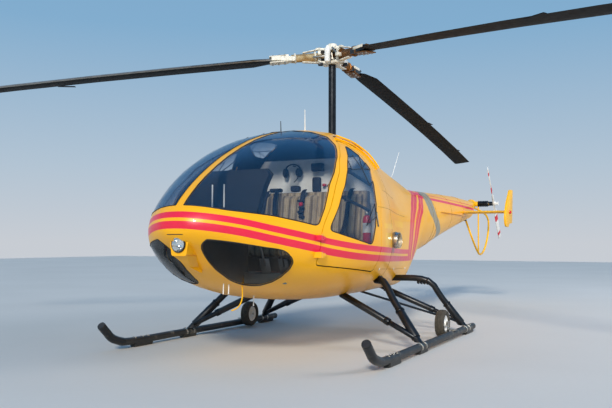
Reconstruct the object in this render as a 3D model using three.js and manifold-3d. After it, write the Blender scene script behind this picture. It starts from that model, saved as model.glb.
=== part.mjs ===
// Light three-seat helicopter on skids. Millimetres, +X forward, +Y port, +Z up, ground at Z = 0.
import * as THREE from 'three';
import { mergeVertices } from 'three/addons/utils/BufferGeometryUtils.js';
import Module from 'manifold-3d';

const wasm = await Module();
wasm.setup();

// Driving sizes. Stations are measured from the main mast, forward positive.
const MAST_X = 1908;          // where the mast stands in the part's own frame
const SKIN = 8;               // cabin and body skin
const FIT = 0.3;              // space between pieces that touch
const CLEAR = 8;              // space round pieces that move
const ROTOR_R = 4877;
const ROTOR_Z = 2810;         // where the blades leave the hub
const BLADE_CHORD = 241;
const BULKHEAD_X = 400;
const CONE_X = -1950;
const POST_HALF = 34;         // half width of the windshield post
const FLOOR_Z = 560;
const SKID_Y = 1180;
const SKID_R = 33;
const LEG_R = 32;
const TAIL_TURN = 38;         // how far the tail blades stand off the vertical
const TAIL = { x: -5710, y: 380, z: 1580, r: 710, chord: 95, pitch: 10 };

// Paints and materials as the photo shows them.
const YELLOW = '#f2b21c', BLACK = '#1b1c1e', GLASS = '#26323a';
const STEEL = '#b9b6ae', CREAM = '#d9cfb4', RUBBER = '#18181a', BEIGE = '#a69a88', WHITE = '#ece9e2';

// Body sections: station, top, widest, belly height, half width, upper and lower roundness.
const BODY = [
  { x: 2645, top: 1050, mid: 1040, low: 1030, half: 12, up: 2.0, dn: 2.0 },
  { x: 2628, top: 1110, mid: 1035, low: 968, half: 112, up: 2.0, dn: 2.0 },
  { x: 2570, top: 1182, mid: 1025, low: 908, half: 218, up: 2.0, dn: 2.0 },
  { x: 2470, top: 1277, mid: 1010, low: 840, half: 342, up: 1.9, dn: 2.1 },
  { x: 2300, top: 1405, mid: 985, low: 712, half: 486, up: 1.95, dn: 2.25 },
  { x: 2000, top: 1583, mid: 960, low: 572, half: 650, up: 2.15, dn: 2.35 },
  { x: 1600, top: 1758, mid: 950, low: 474, half: 782, up: 2.28, dn: 2.35 },
  { x: 1200, top: 1874, mid: 940, low: 430, half: 858, up: 2.35, dn: 2.3 },
  { x: 800, top: 1946, mid: 940, low: 412, half: 868, up: 2.27, dn: 2.3 },
  { x: 400, top: 1974, mid: 940, low: 412, half: 785, up: 2.2, dn: 2.5 },
  { x: 0, top: 1950, mid: 940, low: 415, half: 680, up: 2.05, dn: 2.9 },
  { x: -500, top: 1868, mid: 950, low: 425, half: 550, up: 2.05, dn: 3.4 },
  { x: -1000, top: 1785, mid: 1000, low: 436, half: 445, up: 2.0, dn: 4.6 },
  { x: -1500, top: 1705, mid: 1050, low: 458, half: 366, up: 2.0, dn: 2.8 },
  { x: -1800, top: 1640, mid: 1120, low: 640, half: 350, up: 2.0, dn: 2.3 },
  { x: CONE_X, top: 1600, mid: 1180, low: 760, half: 350, up: 2.0, dn: 2.0 },
];
const COLUMNS = ['x', 'top', 'mid', 'low', 'half', 'up', 'dn'];

// Turning geometry into closed solids and back.
function solid(geometry) {
  const bare = geometry.clone();
  bare.deleteAttribute('normal');
  bare.deleteAttribute('uv');
  const merged = mergeVertices(bare, 1e-4);
  return new wasm.Manifold(new wasm.Mesh({
    numProp: 3,
    vertProperties: new Float32Array(merged.attributes.position.array),
    triVerts: new Uint32Array(merged.index.array),
  }));
}

function geometryOf(body) {
  const mesh = body.getMesh();
  const geometry = new THREE.BufferGeometry();
  geometry.setAttribute('position', new THREE.Float32BufferAttribute(mesh.vertProperties, 3));
  geometry.setIndex(Array.from(mesh.triVerts));
  geometry.computeVertexNormals();
  return geometry;
}

const join = (...bodies) => bodies.reduce((a, b) => a.add(b));
const cut = (body, ...tools) => tools.reduce((a, b) => a.subtract(b), body);

// Rings of equal length joined into a closed skin, with both ends capped.
function loft(rings) {
  const n = rings[0].length;
  const points = rings.flat();
  const faces = [];
  for (let i = 0; i + 1 < rings.length; i += 1) {
    for (let j = 0; j < n; j += 1) {
      const a = i * n + j, b = i * n + (j + 1) % n;
      faces.push(a, b, b + n, a, b + n, a + n);
    }
  }
  for (const [first, flip] of [[0, true], [(rings.length - 1) * n, false]]) {
    const centre = new THREE.Vector3();
    for (let j = 0; j < n; j += 1) centre.addScaledVector(points[first + j], 1 / n);
    points.push(centre);
    for (let j = 0; j < n; j += 1) {
      const a = first + j, b = first + (j + 1) % n;
      if (flip) faces.push(points.length - 1, b, a);
      else faces.push(points.length - 1, a, b);
    }
  }
  let volume = 0;
  const cross = new THREE.Vector3();
  for (let k = 0; k < faces.length; k += 3) {
    cross.crossVectors(points[faces[k + 1]], points[faces[k + 2]]);
    volume += points[faces[k]].dot(cross);
  }
  if (volume < 0) {
    for (let k = 0; k < faces.length; k += 3) [faces[k], faces[k + 1]] = [faces[k + 1], faces[k]];
  }
  const geometry = new THREE.BufferGeometry().setFromPoints(points);
  geometry.setIndex(faces);
  return solid(geometry);
}

function box(x0, x1, y0, y1, z0, z1) {
  const geometry = new THREE.BoxGeometry(x1 - x0, y1 - y0, z1 - z0);
  geometry.translate((x0 + x1) / 2, (y0 + y1) / 2, (z0 + z1) / 2);
  return solid(geometry);
}

// A round bar or cone from one point to another.
function bar(from, to, r0, r1 = r0, sides = 20) {
  const a = new THREE.Vector3(...from), b = new THREE.Vector3(...to);
  const along = b.clone().sub(a);
  const geometry = new THREE.CylinderGeometry(r1, r0, along.length(), sides);
  geometry.applyQuaternion(new THREE.Quaternion().setFromUnitVectors(
    new THREE.Vector3(0, 1, 0), along.clone().normalize()));
  geometry.translate(...a.add(b).multiplyScalar(0.5).toArray());
  return solid(geometry);
}

function ball(x, y, z, r, sides = 16) {
  const geometry = new THREE.SphereGeometry(r, sides, Math.round(sides * 0.6));
  geometry.translate(x, y, z);
  return solid(geometry);
}

// A bent tube along points, rounded through them.
function tube(points, r, steps = 40, sides = 14) {
  const shape = new THREE.Shape();
  shape.absarc(0, 0, r, 0, Math.PI * 2);
  const path = new THREE.CatmullRomCurve3(points.map((p) => new THREE.Vector3(...p)), false, 'centripetal');
  return solid(new THREE.ExtrudeGeometry(shape, {
    extrudePath: path, steps, curveSegments: Math.ceil(sides / 2), bevelEnabled: false,
  }));
}

// Flat outlines drawn out into solids: plane 'xz' along Y, 'xy' along Z and 'yz' along X.
function prism(outline, plane, from, to) {
  const shape = new THREE.Shape(outline.map(([a, b]) => new THREE.Vector2(a, b)));
  const geometry = new THREE.ExtrudeGeometry(shape, { depth: to - from, bevelEnabled: false });
  if (plane === 'xz') geometry.translate(0, 0, -to).rotateX(Math.PI / 2);
  else geometry.translate(0, 0, from);
  if (plane === 'yz') geometry.rotateX(Math.PI / 2).rotateZ(Math.PI / 2);
  return solid(geometry);
}

// An outline with its corners rounded, and the same outline moved inward by an amount.
function rounded(points, radius, steps = 4) {
  const out = [];
  points.forEach((p, i) => {
    const before = points[(i + points.length - 1) % points.length];
    const after = points[(i + 1) % points.length];
    const P = new THREE.Vector2(...p);
    const toA = new THREE.Vector2(...before).sub(P), toB = new THREE.Vector2(...after).sub(P);
    const reach = Math.min(radius, toA.length() / 2.1, toB.length() / 2.1);
    const a = P.clone().addScaledVector(toA.normalize(), reach);
    const b = P.clone().addScaledVector(toB.normalize(), reach);
    for (let k = 0; k <= steps; k += 1) {
      const t = k / steps;
      out.push([0, 1].map((c) => {
        const [pa, pp, pb] = [a, P, b].map((v) => v.getComponent(c));
        return (1 - t) ** 2 * pa + 2 * t * (1 - t) * pp + t * t * pb;
      }));
    }
  });
  return out;
}

function inset(points, amount) {
  const area = points.reduce((s, p, i) => {
    const q = points[(i + 1) % points.length];
    return s + p[0] * q[1] - q[0] * p[1];
  }, 0);
  const sign = area > 0 ? 1 : -1;
  return points.map((p, i) => {
    const a = points[(i + points.length - 1) % points.length], b = points[(i + 1) % points.length];
    const d1 = new THREE.Vector2(p[0] - a[0], p[1] - a[1]).normalize();
    const d2 = new THREE.Vector2(b[0] - p[0], b[1] - p[1]).normalize();
    const n1 = [-d1.y * sign, d1.x * sign], n2 = [-d2.y * sign, d2.x * sign];
    const k = amount / Math.max(0.4, 1 + n1[0] * n2[0] + n1[1] * n2[1]);
    return [p[0] + (n1[0] + n2[0]) * k, p[1] + (n1[1] + n2[1]) * k];
  });
}

// The body skin: smooth rings through the table, then the same rings pushed inward.
function bodyRings(sides = 36, fine = 2) {
  const rows = BODY.length;
  const curve = new THREE.CubicInterpolant(
    BODY.map((_, i) => i), BODY.flatMap((row) => COLUMNS.map((key) => row[key])), COLUMNS.length);
  const rings = [];
  for (let i = 0; i <= (rows - 1) * fine; i += 1) {
    const [x, top, mid, low, half, up, dn] = curve.evaluate(i / fine);
    const ring = [];
    for (let j = 0; j < sides; j += 1) {
      const t = (j + 0.5) / sides * Math.PI * 2;
      const c = Math.cos(t), s = Math.sin(t);
      const power = 2 / (s > 0 ? up : dn);
      ring.push(new THREE.Vector3(x, half * Math.sign(c) * Math.abs(c) ** power,
        mid + (s > 0 ? top - mid : mid - low) * Math.sign(s) * Math.abs(s) ** power));
    }
    rings.push(ring);
  }
  return rings;
}

function pushed(rings, amount) {
  const n = rings[0].length;
  return rings.map((ring, i) => ring.map((p, j) => {
    const before = rings[Math.max(0, i - 1)][j], after = rings[Math.min(rings.length - 1, i + 1)][j];
    const across = ring[(j + 1) % n].clone().sub(ring[(j + n - 1) % n]);
    const normal = after.clone().sub(before).cross(across).normalize();
    const centre = new THREE.Vector3(p.x - 1, 0, (ring[0].z + ring[n >> 1].z) / 2);
    if (normal.dot(p.clone().sub(centre)) < 0) normal.negate();
    return p.clone().addScaledVector(normal, -amount);
  }));
}

const rings = bodyRings();
const outer = loft(rings);
const inner = loft(pushed(rings, SKIN));
const lining = loft(pushed(rings, SKIN + FIT));
const inside = loft(pushed(rings, SKIN - 1));
const skin = outer.subtract(inner);
const between = (body, x0, x1) => body.intersect(box(x0, x1, -1500, 1500, -100, 2600));

const part = new THREE.Group();
part.name = 'helicopter';

function add(name, body, colour, roughness = 0.5, metalness = 0.1) {
  const geometry = geometryOf(body);
  geometry.translate(MAST_X, 0, 0);
  const material = new THREE.MeshStandardMaterial({ color: colour, roughness, metalness });
  const mesh = new THREE.Mesh(geometry, material);
  mesh.name = name;
  part.add(mesh);
  return mesh;
}

// Window and door outlines, seen from the side unless they say otherwise: station, height.
const SCREEN = rounded([
  [2640, 1198], [2451, 1143], [2181, 1108], [1818, 1043], [1602, 1357], [1364, 1560], [1138, 1724],
  [1010, 1835], [1040, 1905], [1200, 1960], [1400, 1990], [2700, 1500]], 40);
const DOOR_WINDOW = rounded([
  [1705, 1014], [1466, 1314], [1200, 1575], [924, 1770], [840, 1669], [785, 1568], [890, 1424], [1091, 899],
  [1447, 963]], 60);
const DOOR = rounded([
  [1795, 745], [1795, 960], [1765, 1045], [1545, 1345], [1270, 1610], [960, 1812], [875, 1805], [770, 1670],
  [732, 1560], [790, 1385], [885, 1100], [900, 668]], 50);
const CHIN_SIDE = rounded([
  [2700, 945], [2540, 942], [2270, 888], [2095, 862], [2000, 790], [1975, 690], [1960, 560], [1960, 450],
  [2700, 450]], 60);
// Chin windows, seen from above: station, side; and from ahead: side, height.
const CHIN = rounded([
  [2700, 128], [2350, 124], [2082, 162], [1985, 275], [1972, 420], [1985, 540], [1990, 900],
  [2700, 900]], 70);
const CHIN_FRONT = rounded([[120, 400], [126, 880], [225, 955], [900, 1000], [900, 400]], 60);
// Skylights, seen from above: station, side.
const SKYLIGHT = rounded([
  [870, 395], [850, 470], [740, 520], [600, 555], [450, 530], [450, 370], [640, 380]], 40);

const screenCut = (grow) => prism(inset(SCREEN, grow), 'xz', POST_HALF + grow, 1200);
const chinCut = (grow) => prism(inset(CHIN, grow), 'xy', 400, 1000)
  .intersect(prism(inset(CHIN_SIDE, grow), 'xz', 50, 1200))
  .intersect(prism(inset(CHIN_FRONT, grow), 'yz', 1500, 2800));
const lightCut = (grow) => prism(inset(SKYLIGHT, grow), 'xy', 1700, 2300);
const doorCut = (grow) => prism(inset(DOOR, grow), 'xz', 300, 1200);
const doorGlassCut = (grow) => prism(inset(DOOR_WINDOW, grow), 'xz', 300, 1200);
const other = (body) => body.mirror([0, 1, 0]);

// Cabin and rear body.
const cabin = between(skin, BULKHEAD_X + FIT, 3000);
const openings = [screenCut(0), chinCut(0), lightCut(0), doorCut(0)];
// The lamp's housing: a box under the nose, and below it a wedge that runs aft into the keel.
const LAMP = { x: 2575, z: 904, lens: 46, low: 823, top: 970, keel: 742, back: 2520 };
const housingFront = rounded([[-86, LAMP.top], [86, LAMP.top], [62, LAMP.low], [-62, LAMP.low]], 16);
const lampBox = prism(housingFront, 'yz', 2300, LAMP.x);
const lampWedge = prism([[-62, LAMP.low + 2], [62, LAMP.low + 2], [8, LAMP.keel], [8, 690], [-8, 690],
  [-8, LAMP.keel]], 'yz', 2300, 2600)
  .intersect(prism([[2300, LAMP.low + 2], [2558, LAMP.low + 2], [2456, LAMP.keel], [2330, 700], [2300, 700]],
    'xz', -90, 90));
const lampFairing = join(lampBox, lampWedge).subtract(inside);
const lampBar = (from, to, r) => bar([from, 0, LAMP.z], [to, 0, LAMP.z], r, r, 28);
const lampHole = lampBar(LAMP.back, 2700, LAMP.lens + FIT);
const opened = cut(join(cut(cabin, ...openings, ...openings.map(other)), lampFairing), lampHole);
add('windshield_left', skin.intersect(screenCut(FIT)), GLASS, 0.1);
add('windshield_right', skin.intersect(other(screenCut(FIT))), GLASS, 0.1);
add('chin_window_left', skin.intersect(chinCut(FIT)), GLASS, 0.1);
add('chin_window_right', skin.intersect(other(chinCut(FIT))), GLASS, 0.1);
add('skylight_left', skin.intersect(lightCut(FIT)), GLASS, 0.1);
add('skylight_right', skin.intersect(other(lightCut(FIT))), GLASS, 0.1);

// Door hinges: two knuckles on an upright pin just outside the skin at the door's front edge.
const HINGE = { x: 1792, y: 742, heights: [830, 960], half: 14, pin: 4, barrel: 9 };
const hingeBar = (z, half, r) => bar([HINGE.x, HINGE.y, z - half], [HINGE.x, HINGE.y, z + half], r, r, 16);
const doorHinge = (z) => join(hingeBar(z, HINGE.half, HINGE.barrel),
  box(HINGE.x - 42, HINGE.x, HINGE.y - 60, HINGE.y + 6, z - HINGE.half, z + HINGE.half)
    .subtract(box(HINGE.x - 9, HINGE.x + 20, HINGE.y - 80, HINGE.y - 7, z - 40, z + 40)))
  .subtract(hingeBar(z, 40, HINGE.pin + FIT));
const lug = HINGE.half + 10, slot = HINGE.half + 0.5;
const cabinHinge = (z) => join(hingeBar(z, lug, HINGE.pin),
  box(HINGE.x - 8, HINGE.x + 44, HINGE.y - 60, HINGE.y + 8, z - lug, z + lug)
    .subtract(box(HINGE.x - 60, HINGE.x + 15, HINGE.y - 90, HINGE.y + 20, z - slot, z + slot))
    .subtract(box(HINGE.x - 60, HINGE.x + 8, HINGE.y - 90, HINGE.y - 8, z - 40, z + 40)));
const hinges = HINGE.heights.map((z) => ({ onDoor: doorHinge(z), onCabin: cabinHinge(z) }));
const door = join(skin.intersect(doorCut(CLEAR)).subtract(doorGlassCut(0)),
  ...hinges.map((h) => h.onDoor.subtract(inside)));
add('door_left', door, YELLOW, 0.3);
add('door_right', other(door), YELLOW, 0.3);
const hingeLugs = join(...hinges.map((h) => h.onCabin.subtract(inside)));
add('cabin_body', join(opened, hingeLugs, other(hingeLugs)), YELLOW, 0.3);
const doorGlass = skin.intersect(doorGlassCut(FIT));
add('door_glass_left', doorGlass, GLASS, 0.1);
add('door_glass_right', other(doorGlass), GLASS, 0.1);

const EXHAUST = { x: 300, y: 740, z: 943, r: 72 };
const exhaustHole = (side) => bar([EXHAUST.x, side * 300, EXHAUST.z], [EXHAUST.x, side * 1000, EXHAUST.z],
  EXHAUST.r + FIT, EXHAUST.r + FIT, 28);
const rearBody = cut(between(skin, CONE_X + 10, BULKHEAD_X), bar([0, 0, 1700], [0, 0, 2300], 48, 48, 28),
  exhaustHole(1), exhaustHole(-1));
add('rear_body', rearBody, YELLOW, 0.3);
for (const [side, name] of [[1, 'exhaust_left'], [-1, 'exhaust_right']]) {
  const across = (from, to, r) => bar(
    [EXHAUST.x, side * from, EXHAUST.z], [EXHAUST.x, side * to, EXHAUST.z], r, r, 28);
  add(name, cut(across(560, 822, EXHAUST.r), across(580, 900, EXHAUST.r - 6)), STEEL, 0.4, 0.8);
}

// Floors, bulkhead and what they carry: each spans the body between its stations and heights.
const spanning = (x0, x1, z0, z1) => lining.intersect(box(x0, x1, -900, 900, z0, z1));
const AFT_X = BULKHEAD_X - 25 - FIT;
const wholeFloor = spanning(BULKHEAD_X + 25, 2450, FLOOR_Z - 20, FLOOR_Z);
add('cabin_floor', cut(wholeFloor, chinCut(-3), other(chinCut(-3))), BLACK, 0.8);
add('bulkhead', spanning(BULKHEAD_X - 25, BULKHEAD_X + 25 - FIT, 300, 2100), CREAM, 0.7);
add('engine_deck', spanning(-1400, AFT_X, 500, 520), STEEL, 0.6, 0.5);
add('engine', lining.intersect(box(-1000, -220, -260, 260, 520 + FIT, 900)), STEEL, 0.6, 0.5);
add('main_gearbox', join(spanning(-420, AFT_X, 1380, 1400), bar([0, 0, 1395], [0, 0, 1700], 150, 110, 28)),
  STEEL, 0.6, 0.5);

// Seats.
const SEAT_Z = 800;
const SEAT = { back: 600, front: 1330, half: 660, depth: 130, top: 1390 };
const acrossSeat = (x0, x1, z0, z1) => box(x0, x1, -SEAT.half, SEAT.half, z0, z1);
add('seat_base', lining.intersect(acrossSeat(SEAT.back, SEAT.front, FLOOR_Z + FIT, SEAT_Z)), BEIGE, 0.8);
add('seat_cushion', acrossSeat(SEAT.back + 255, SEAT.front, SEAT_Z + FIT, SEAT_Z + SEAT.depth), BEIGE, 0.9);
const backrest = [[SEAT.back, SEAT_Z + FIT], [SEAT.back + 250, SEAT_Z + FIT], [SEAT.back + 150, SEAT.top],
  [SEAT.back, SEAT.top]];
add('seat_back', prism(backrest, 'xz', -SEAT.half, SEAT.half), BEIGE, 0.9);

// The instrument panel on its pedestal, and the two sticks.
const PANEL = rounded([[-440, 1010], [-440, 1325], [-200, 1475], [325, 1478], [368, 1440], [318, 1343],
  [262, 1156], [215, 1010]], 30);
add('console', lining.intersect(join(box(1820, 2080, -200, 110, FLOOR_Z + FIT, 1030),
  prism(PANEL, 'yz', 1790, 1950))), BLACK, 0.7);
for (const [y, name] of [[390, 'stick_left'], [-420, 'stick_right']]) {
  const stick = tube([[1500, y, FLOOR_Z - 20], [1520, y, 700], [1480, y, 820], [1440, y, 940]], 14, 20, 10);
  add(name, stick.subtract(box(1400, 1600, y - 50, y + 50, 400, FLOOR_Z + FIT)), BLACK, 0.6);
}

// Mast fairing, tail cone and its surfaces.
const upright = (z0, z1, r0, r1 = r0, sides = 28) => bar([0, 0, z0], [0, 0, z1], r0, r1, sides);
const fairing = join(upright(1900, 2030, 150, 74, 24), upright(2020, 2062, 62, 58, 24));
const collar = cut(fairing, upright(1900, 2200, 48, 48, 24), outer);
add('mast_collar', collar.translate([0, 0, FIT]), WHITE, 0.5);

const CONE = [
  { x: -1940, z: 1180, rz: 420, ry: 350 }, { x: -2400, z: 1204, rz: 393, ry: 330 },
  { x: -3400, z: 1312, rz: 308, ry: 265 }, { x: -4400, z: 1404, rz: 231, ry: 205 },
  { x: -5300, z: 1467, rz: 152, ry: 142 }];
const oval = (s, n = 32) => Array.from({ length: n }, (_, j) => {
  const t = (j + 0.5) / n * Math.PI * 2;
  return new THREE.Vector3(s.x, s.ry * Math.cos(t), s.z + s.rz * Math.sin(t));
});
const cone = loft(CONE.map((s) => oval(s)));
const coneHollow = loft([
  oval({ x: -1930, z: 1180, rz: 412, ry: 342 }), oval({ x: -2400, z: 1204, rz: 385, ry: 322 }),
  oval({ x: -3400, z: 1312, rz: 300, ry: 257 })]);
const STAB = { x: -4500, z: 1385, chord: 330, half: 830, thick: 46 };
function wing(x, y0, y1, z, chord, thick) {
  const section = [[0.5, 0], [0.42, 0.35], [0.2, 0.5], [-0.1, 0.42], [-0.5, 0.06], [-0.5, -0.06],
    [-0.1, -0.42], [0.2, -0.5], [0.42, -0.35]].map(([a, b]) => [x + a * chord, z + b * thick]);
  return prism(section, 'xz', y0, y1);
}
const stab = wing(STAB.x, -STAB.half, STAB.half, STAB.z, STAB.chord, STAB.thick);
const stabSlot = wing(STAB.x, -STAB.half, STAB.half, STAB.z, STAB.chord + 2 * FIT, STAB.thick + 2 * FIT);
// A flat strake runs along each side of the cone.
const strake = prism([[-2860, 284], [-2900, 326], [-4290, 248], [-4320, 204], [-3400, 258]],
  'xy', 1331, 1337);
const straked = join(cut(cone, coneHollow), strake, other(strake));
add('tail_cone', straked.intersect(box(-5400, CONE_X + 10 - FIT, -900, 900, 0, 3000)).subtract(stabSlot),
  YELLOW, 0.3);
add('stabilizer', stab, YELLOW, 0.3);
const PLATE = rounded([
  [-4350, 1165], [-4300, 1250], [-4305, 1340], [-4400, 1500], [-4660, 1730], [-4885, 1740], [-4850, 1500],
  [-4810, 1222], [-4600, 1215], [-4545, 1157]], 40, 3);
for (const [side, name] of [[1, 'end_plate_left'], [-1, 'end_plate_right']]) {
  const y = side * (STAB.half + FIT), far = y + side * 22;
  add(name, prism(PLATE, 'xz', Math.min(y, far), Math.max(y, far)), YELLOW, 0.3);
}

// Tail gearbox, rotor and guard.
const housing = (grow) => join(bar([-5290, 0, 1467], [-5620, 0, 1565], 138 + grow, 74 + grow, 24),
  ball(-5690, 0, 1578, 82 + grow, 14),
  bar([TAIL.x, 0, TAIL.z], [TAIL.x, 300 + grow, TAIL.z], 46 + grow, 36 + grow, 20));
const tailEnd = box(-5300 - FIT, -5000, -300, 300, 1000, 2000);
add('tail_gearbox', housing(0).subtract(tailEnd), YELLOW, 0.35);
const tailHub = bar([TAIL.x, 300 + FIT, TAIL.z], [TAIL.x, 440, TAIL.z], 36, 32, 20);
function tailBlade(sign) {
  const blade = box(-TAIL.chord / 2, TAIL.chord / 2, -7, 7, 120, TAIL.r).rotate([0, 0, TAIL.pitch]);
  return join(blade, box(-24, 24, -13, 13, 0, 160)).rotate([0, sign > 0 ? 0 : 180, 0]);
}
const tailBlades = join(tailBlade(1), tailBlade(-1));
add('tail_hub', tailHub.intersect(box(-6000, -5000, 0, TAIL.y - 13 - FIT, 1000, 2000)), STEEL, 0.4, 0.7);
add('tail_blades', tailBlades.rotate([0, TAIL_TURN, 0]).translate([TAIL.x, TAIL.y, TAIL.z]), WHITE, 0.4);

const GUARD = [[-5330, 0, 1290], [-5420, 60, 1050], [-5560, 110, 830], [-5780, 118, 728], [-6080, 118, 790],
  [-6340, 115, 980], [-6480, 112, 1180], [-6490, 108, 1330], [-6380, 90, 1420], [-6150, 50, 1480],
  [-5760, 0, 1530]];
const guard = join(tube(GUARD, 17, 29, 8), bar([-5700, 114, 735], [-5710, 118, 1560], 12, 12, 8));
const grownCone = loft(CONE.map((s) => oval({ ...s, rz: s.rz + FIT, ry: s.ry + FIT })));
add('tail_guard', cut(guard, housing(FIT), grownCone), YELLOW, 0.4);

// Main rotor. The hub is two plates with an arm for each blade, on a post round the mast's head.
const AZIMUTHS = { left: 60, right: -60, aft: 180 };
const HUB = { reach: 150, arm: 52, waist: 64, post: 80 };
add('mast', upright(1700 + FIT, 2730, 38.5), '#3a3b3d', 0.5, 0.6);
const star = Object.values(AZIMUTHS).sort((a, b) => a - b).flatMap((azimuth) => {
  const round = [-85, -51, -17, 17, 51, 85].map((turn) => [
    HUB.reach - HUB.arm + HUB.arm * Math.cos(THREE.MathUtils.degToRad(turn)),
    HUB.arm * Math.sin(THREE.MathUtils.degToRad(turn))]);
  const hollow = [[0.5 * HUB.waist, Math.sqrt(0.75) * HUB.waist]];
  return [...round, ...hollow].map(([x, y]) => {
    const spot = new THREE.Vector2(x, y).rotateAround(new THREE.Vector2(), THREE.MathUtils.degToRad(azimuth));
    return [spot.x, spot.y];
  });
});
const plates = [[2730 + FIT, 2758], [2865, 2890]].map(([low, high]) => prism(star, 'xy', low, high));
add('hub', join(...plates, upright(2755, 2870, HUB.post), upright(2885, 2950, 60, 45, 24)), STEEL, 0.4, 0.7);

const BLADE = [
  { r: 620, chord: 150, thick: 34, pitch: 4 },
  { r: 800, chord: BLADE_CHORD, thick: 30, pitch: 3.7 },
  { r: 1600, chord: BLADE_CHORD, thick: 30, pitch: 2.6 },
  { r: 2400, chord: BLADE_CHORD, thick: 30, pitch: 1.3 },
  { r: 3200, chord: BLADE_CHORD, thick: 30, pitch: 0 },
  { r: 4100, chord: BLADE_CHORD, thick: 28, pitch: -1.6 },
  { r: ROTOR_R, chord: BLADE_CHORD, thick: 24, pitch: -3 }];
const AEROFOIL = [
  [0.25, 0], [0.22, 0.36], [0.1, 0.5], [-0.2, 0.4], [-0.5, 0.2], [-0.75, 0.03], [-0.75, -0.03],
  [-0.5, -0.2], [-0.2, -0.4], [0.1, -0.5], [0.22, -0.36]];
const droop = (r) => ROTOR_Z - 0.110 * (r - 200) - 95 * (r / ROTOR_R) ** 3;
// Built along +X with the leading edge toward +Y, then turned to its azimuth.
function blade(azimuth) {
  const body = loft(BLADE.map((s) => {
    const tilt = THREE.MathUtils.degToRad(s.pitch);
    return AEROFOIL.map(([a, b]) => {
      const y = a * s.chord, z = b * s.thick;
      return new THREE.Vector3(s.r, y * Math.cos(tilt) - z * Math.sin(tilt),
        droop(s.r) + y * Math.sin(tilt) + z * Math.cos(tilt));
    });
  }));
  return body.rotate([0, 0, azimuth]);
}
function grip(azimuth) {
  const body = join(bar([60, 0, 2812], [420, 0, droop(420)], 46, 40, 20),
    box(380, 620 - FIT, -60, 60, droop(500) - 22, droop(500) + 22));
  return body.subtract(bar([0, 0, 2600], [0, 0, 3000], 81, 81, 28)).rotate([0, 0, azimuth]);
}
for (const [name, azimuth] of Object.entries(AZIMUTHS)) {
  add(`grip_${name}`, grip(azimuth), CREAM, 0.5, 0.4);
  add(`blade_${name}`, blade(azimuth).subtract(grip(azimuth)), BLACK, 0.45);
}

// Landing gear: each leg rises inboard and aft from its skid to the arched tube that leaves the body.
const GEAR = [
  { name: 'front', foot: 792, bend: [530, 730, 585], root: [500, 480, 610], brace: [700, 330, 500],
    thin: [] },
  { name: 'aft', foot: -665, bend: [-510, 852, 530], root: [-500, 400, 560], brace: [-560, 260, 480],
    thin: [-20, 300, 440] },
];
const grownBody = loft(pushed(rings, -FIT));
const largest = (body) => body.decompose().sort((p, q) => q.volume() - p.volume())[0];
const SKID_Z = 53;            // the tube rides on three shoes that touch the ground
const SKID_TOP = SKID_Z + SKID_R + FIT;
for (const gear of GEAR) {
  const foot = [gear.foot, SKID_Y - 10, SKID_TOP - 20];
  const knee = foot.map((value, k) => (value + 2 * gear.bend[k]) / 3);
  const leg = tube([foot, knee, gear.bend, gear.root], LEG_R, 14, 12);
  const brace = bar(gear.brace, [foot[0] - 10, foot[1] - 25, foot[2] + 45], 22, 22, 12);
  const thin = gear.thin.length ? [bar(gear.thin, [foot[0] + 5, foot[1] - 12, foot[2] + 45], 11, 11, 8)] : [];
  const tubes = join(leg, brace, ...thin);
  for (const [side, pair] of [['left', tubes], ['right', other(tubes)]]) {
    const outside = cut(pair, grownBody, box(-3000, 3000, -2000, 2000, -100, SKID_TOP));
    add(`leg_${gear.name}_${side}`, largest(outside), BLACK, 0.5);
  }
}
const SHOES = [[1380, 1620], [700, 900], [-860, -600]];
for (const [side, name] of [[1, 'skid_left'], [-1, 'skid_right']]) {
  const y = side * SKID_Y;
  const shoe = [[y - 30, 12], [y - 20, 0], [y + 20, 0], [y + 30, 12], [y + 30, SKID_Z], [y - 30, SKID_Z]];
  const line = [[-953, SKID_Z], [-400, SKID_Z], [400, SKID_Z], [1100, SKID_Z], [1600, SKID_Z],
    [1760, SKID_Z + 10], [1900, 110], [2030, 228]].map(([x, z]) => [x, y, z]);
  const shoes = SHOES.map(([x0, x1]) => prism(shoe, 'yz', x0, x1));
  add(name, join(tube(line, SKID_R, 26, 16), ...shoes), BLACK, 0.5);
}

// Ground-handling wheels on short brackets inboard of the skids.
const WHEEL = { x: -195, y: 1076, z: 145, r: 132, half: 45, bore: 12 };
for (const [side, name] of [[1, 'left'], [-1, 'right']]) {
  const at = (d) => side * (WHEEL.y + d);
  const across = (from, to, r, sides) => bar(
    [WHEEL.x, at(from), WHEEL.z], [WHEEL.x, at(to), WHEEL.z], r, r, sides);
  const tyre = join(across(-31, 31, WHEEL.r, 32), across(-WHEEL.half, WHEEL.half, WHEEL.r - 15, 32));
  add(`wheel_${name}`, tyre.subtract(across(-60, 60, WHEEL.bore + FIT, 16)), RUBBER, 0.8);
  const slab = (from, to, z0, z1) => box(
    WHEEL.x - 30, WHEEL.x + 30, Math.min(at(from), at(to)), Math.max(at(from), at(to)), z0, z1);
  const bracket = join(across(-50, 60, WHEEL.bore, 16), slab(54, 62, SKID_TOP, WHEEL.z + 25),
    slab(54, 134, SKID_TOP, SKID_TOP + 10));
  add(`wheel_bracket_${name}`, bracket, STEEL, 0.5, 0.6);
}

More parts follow.
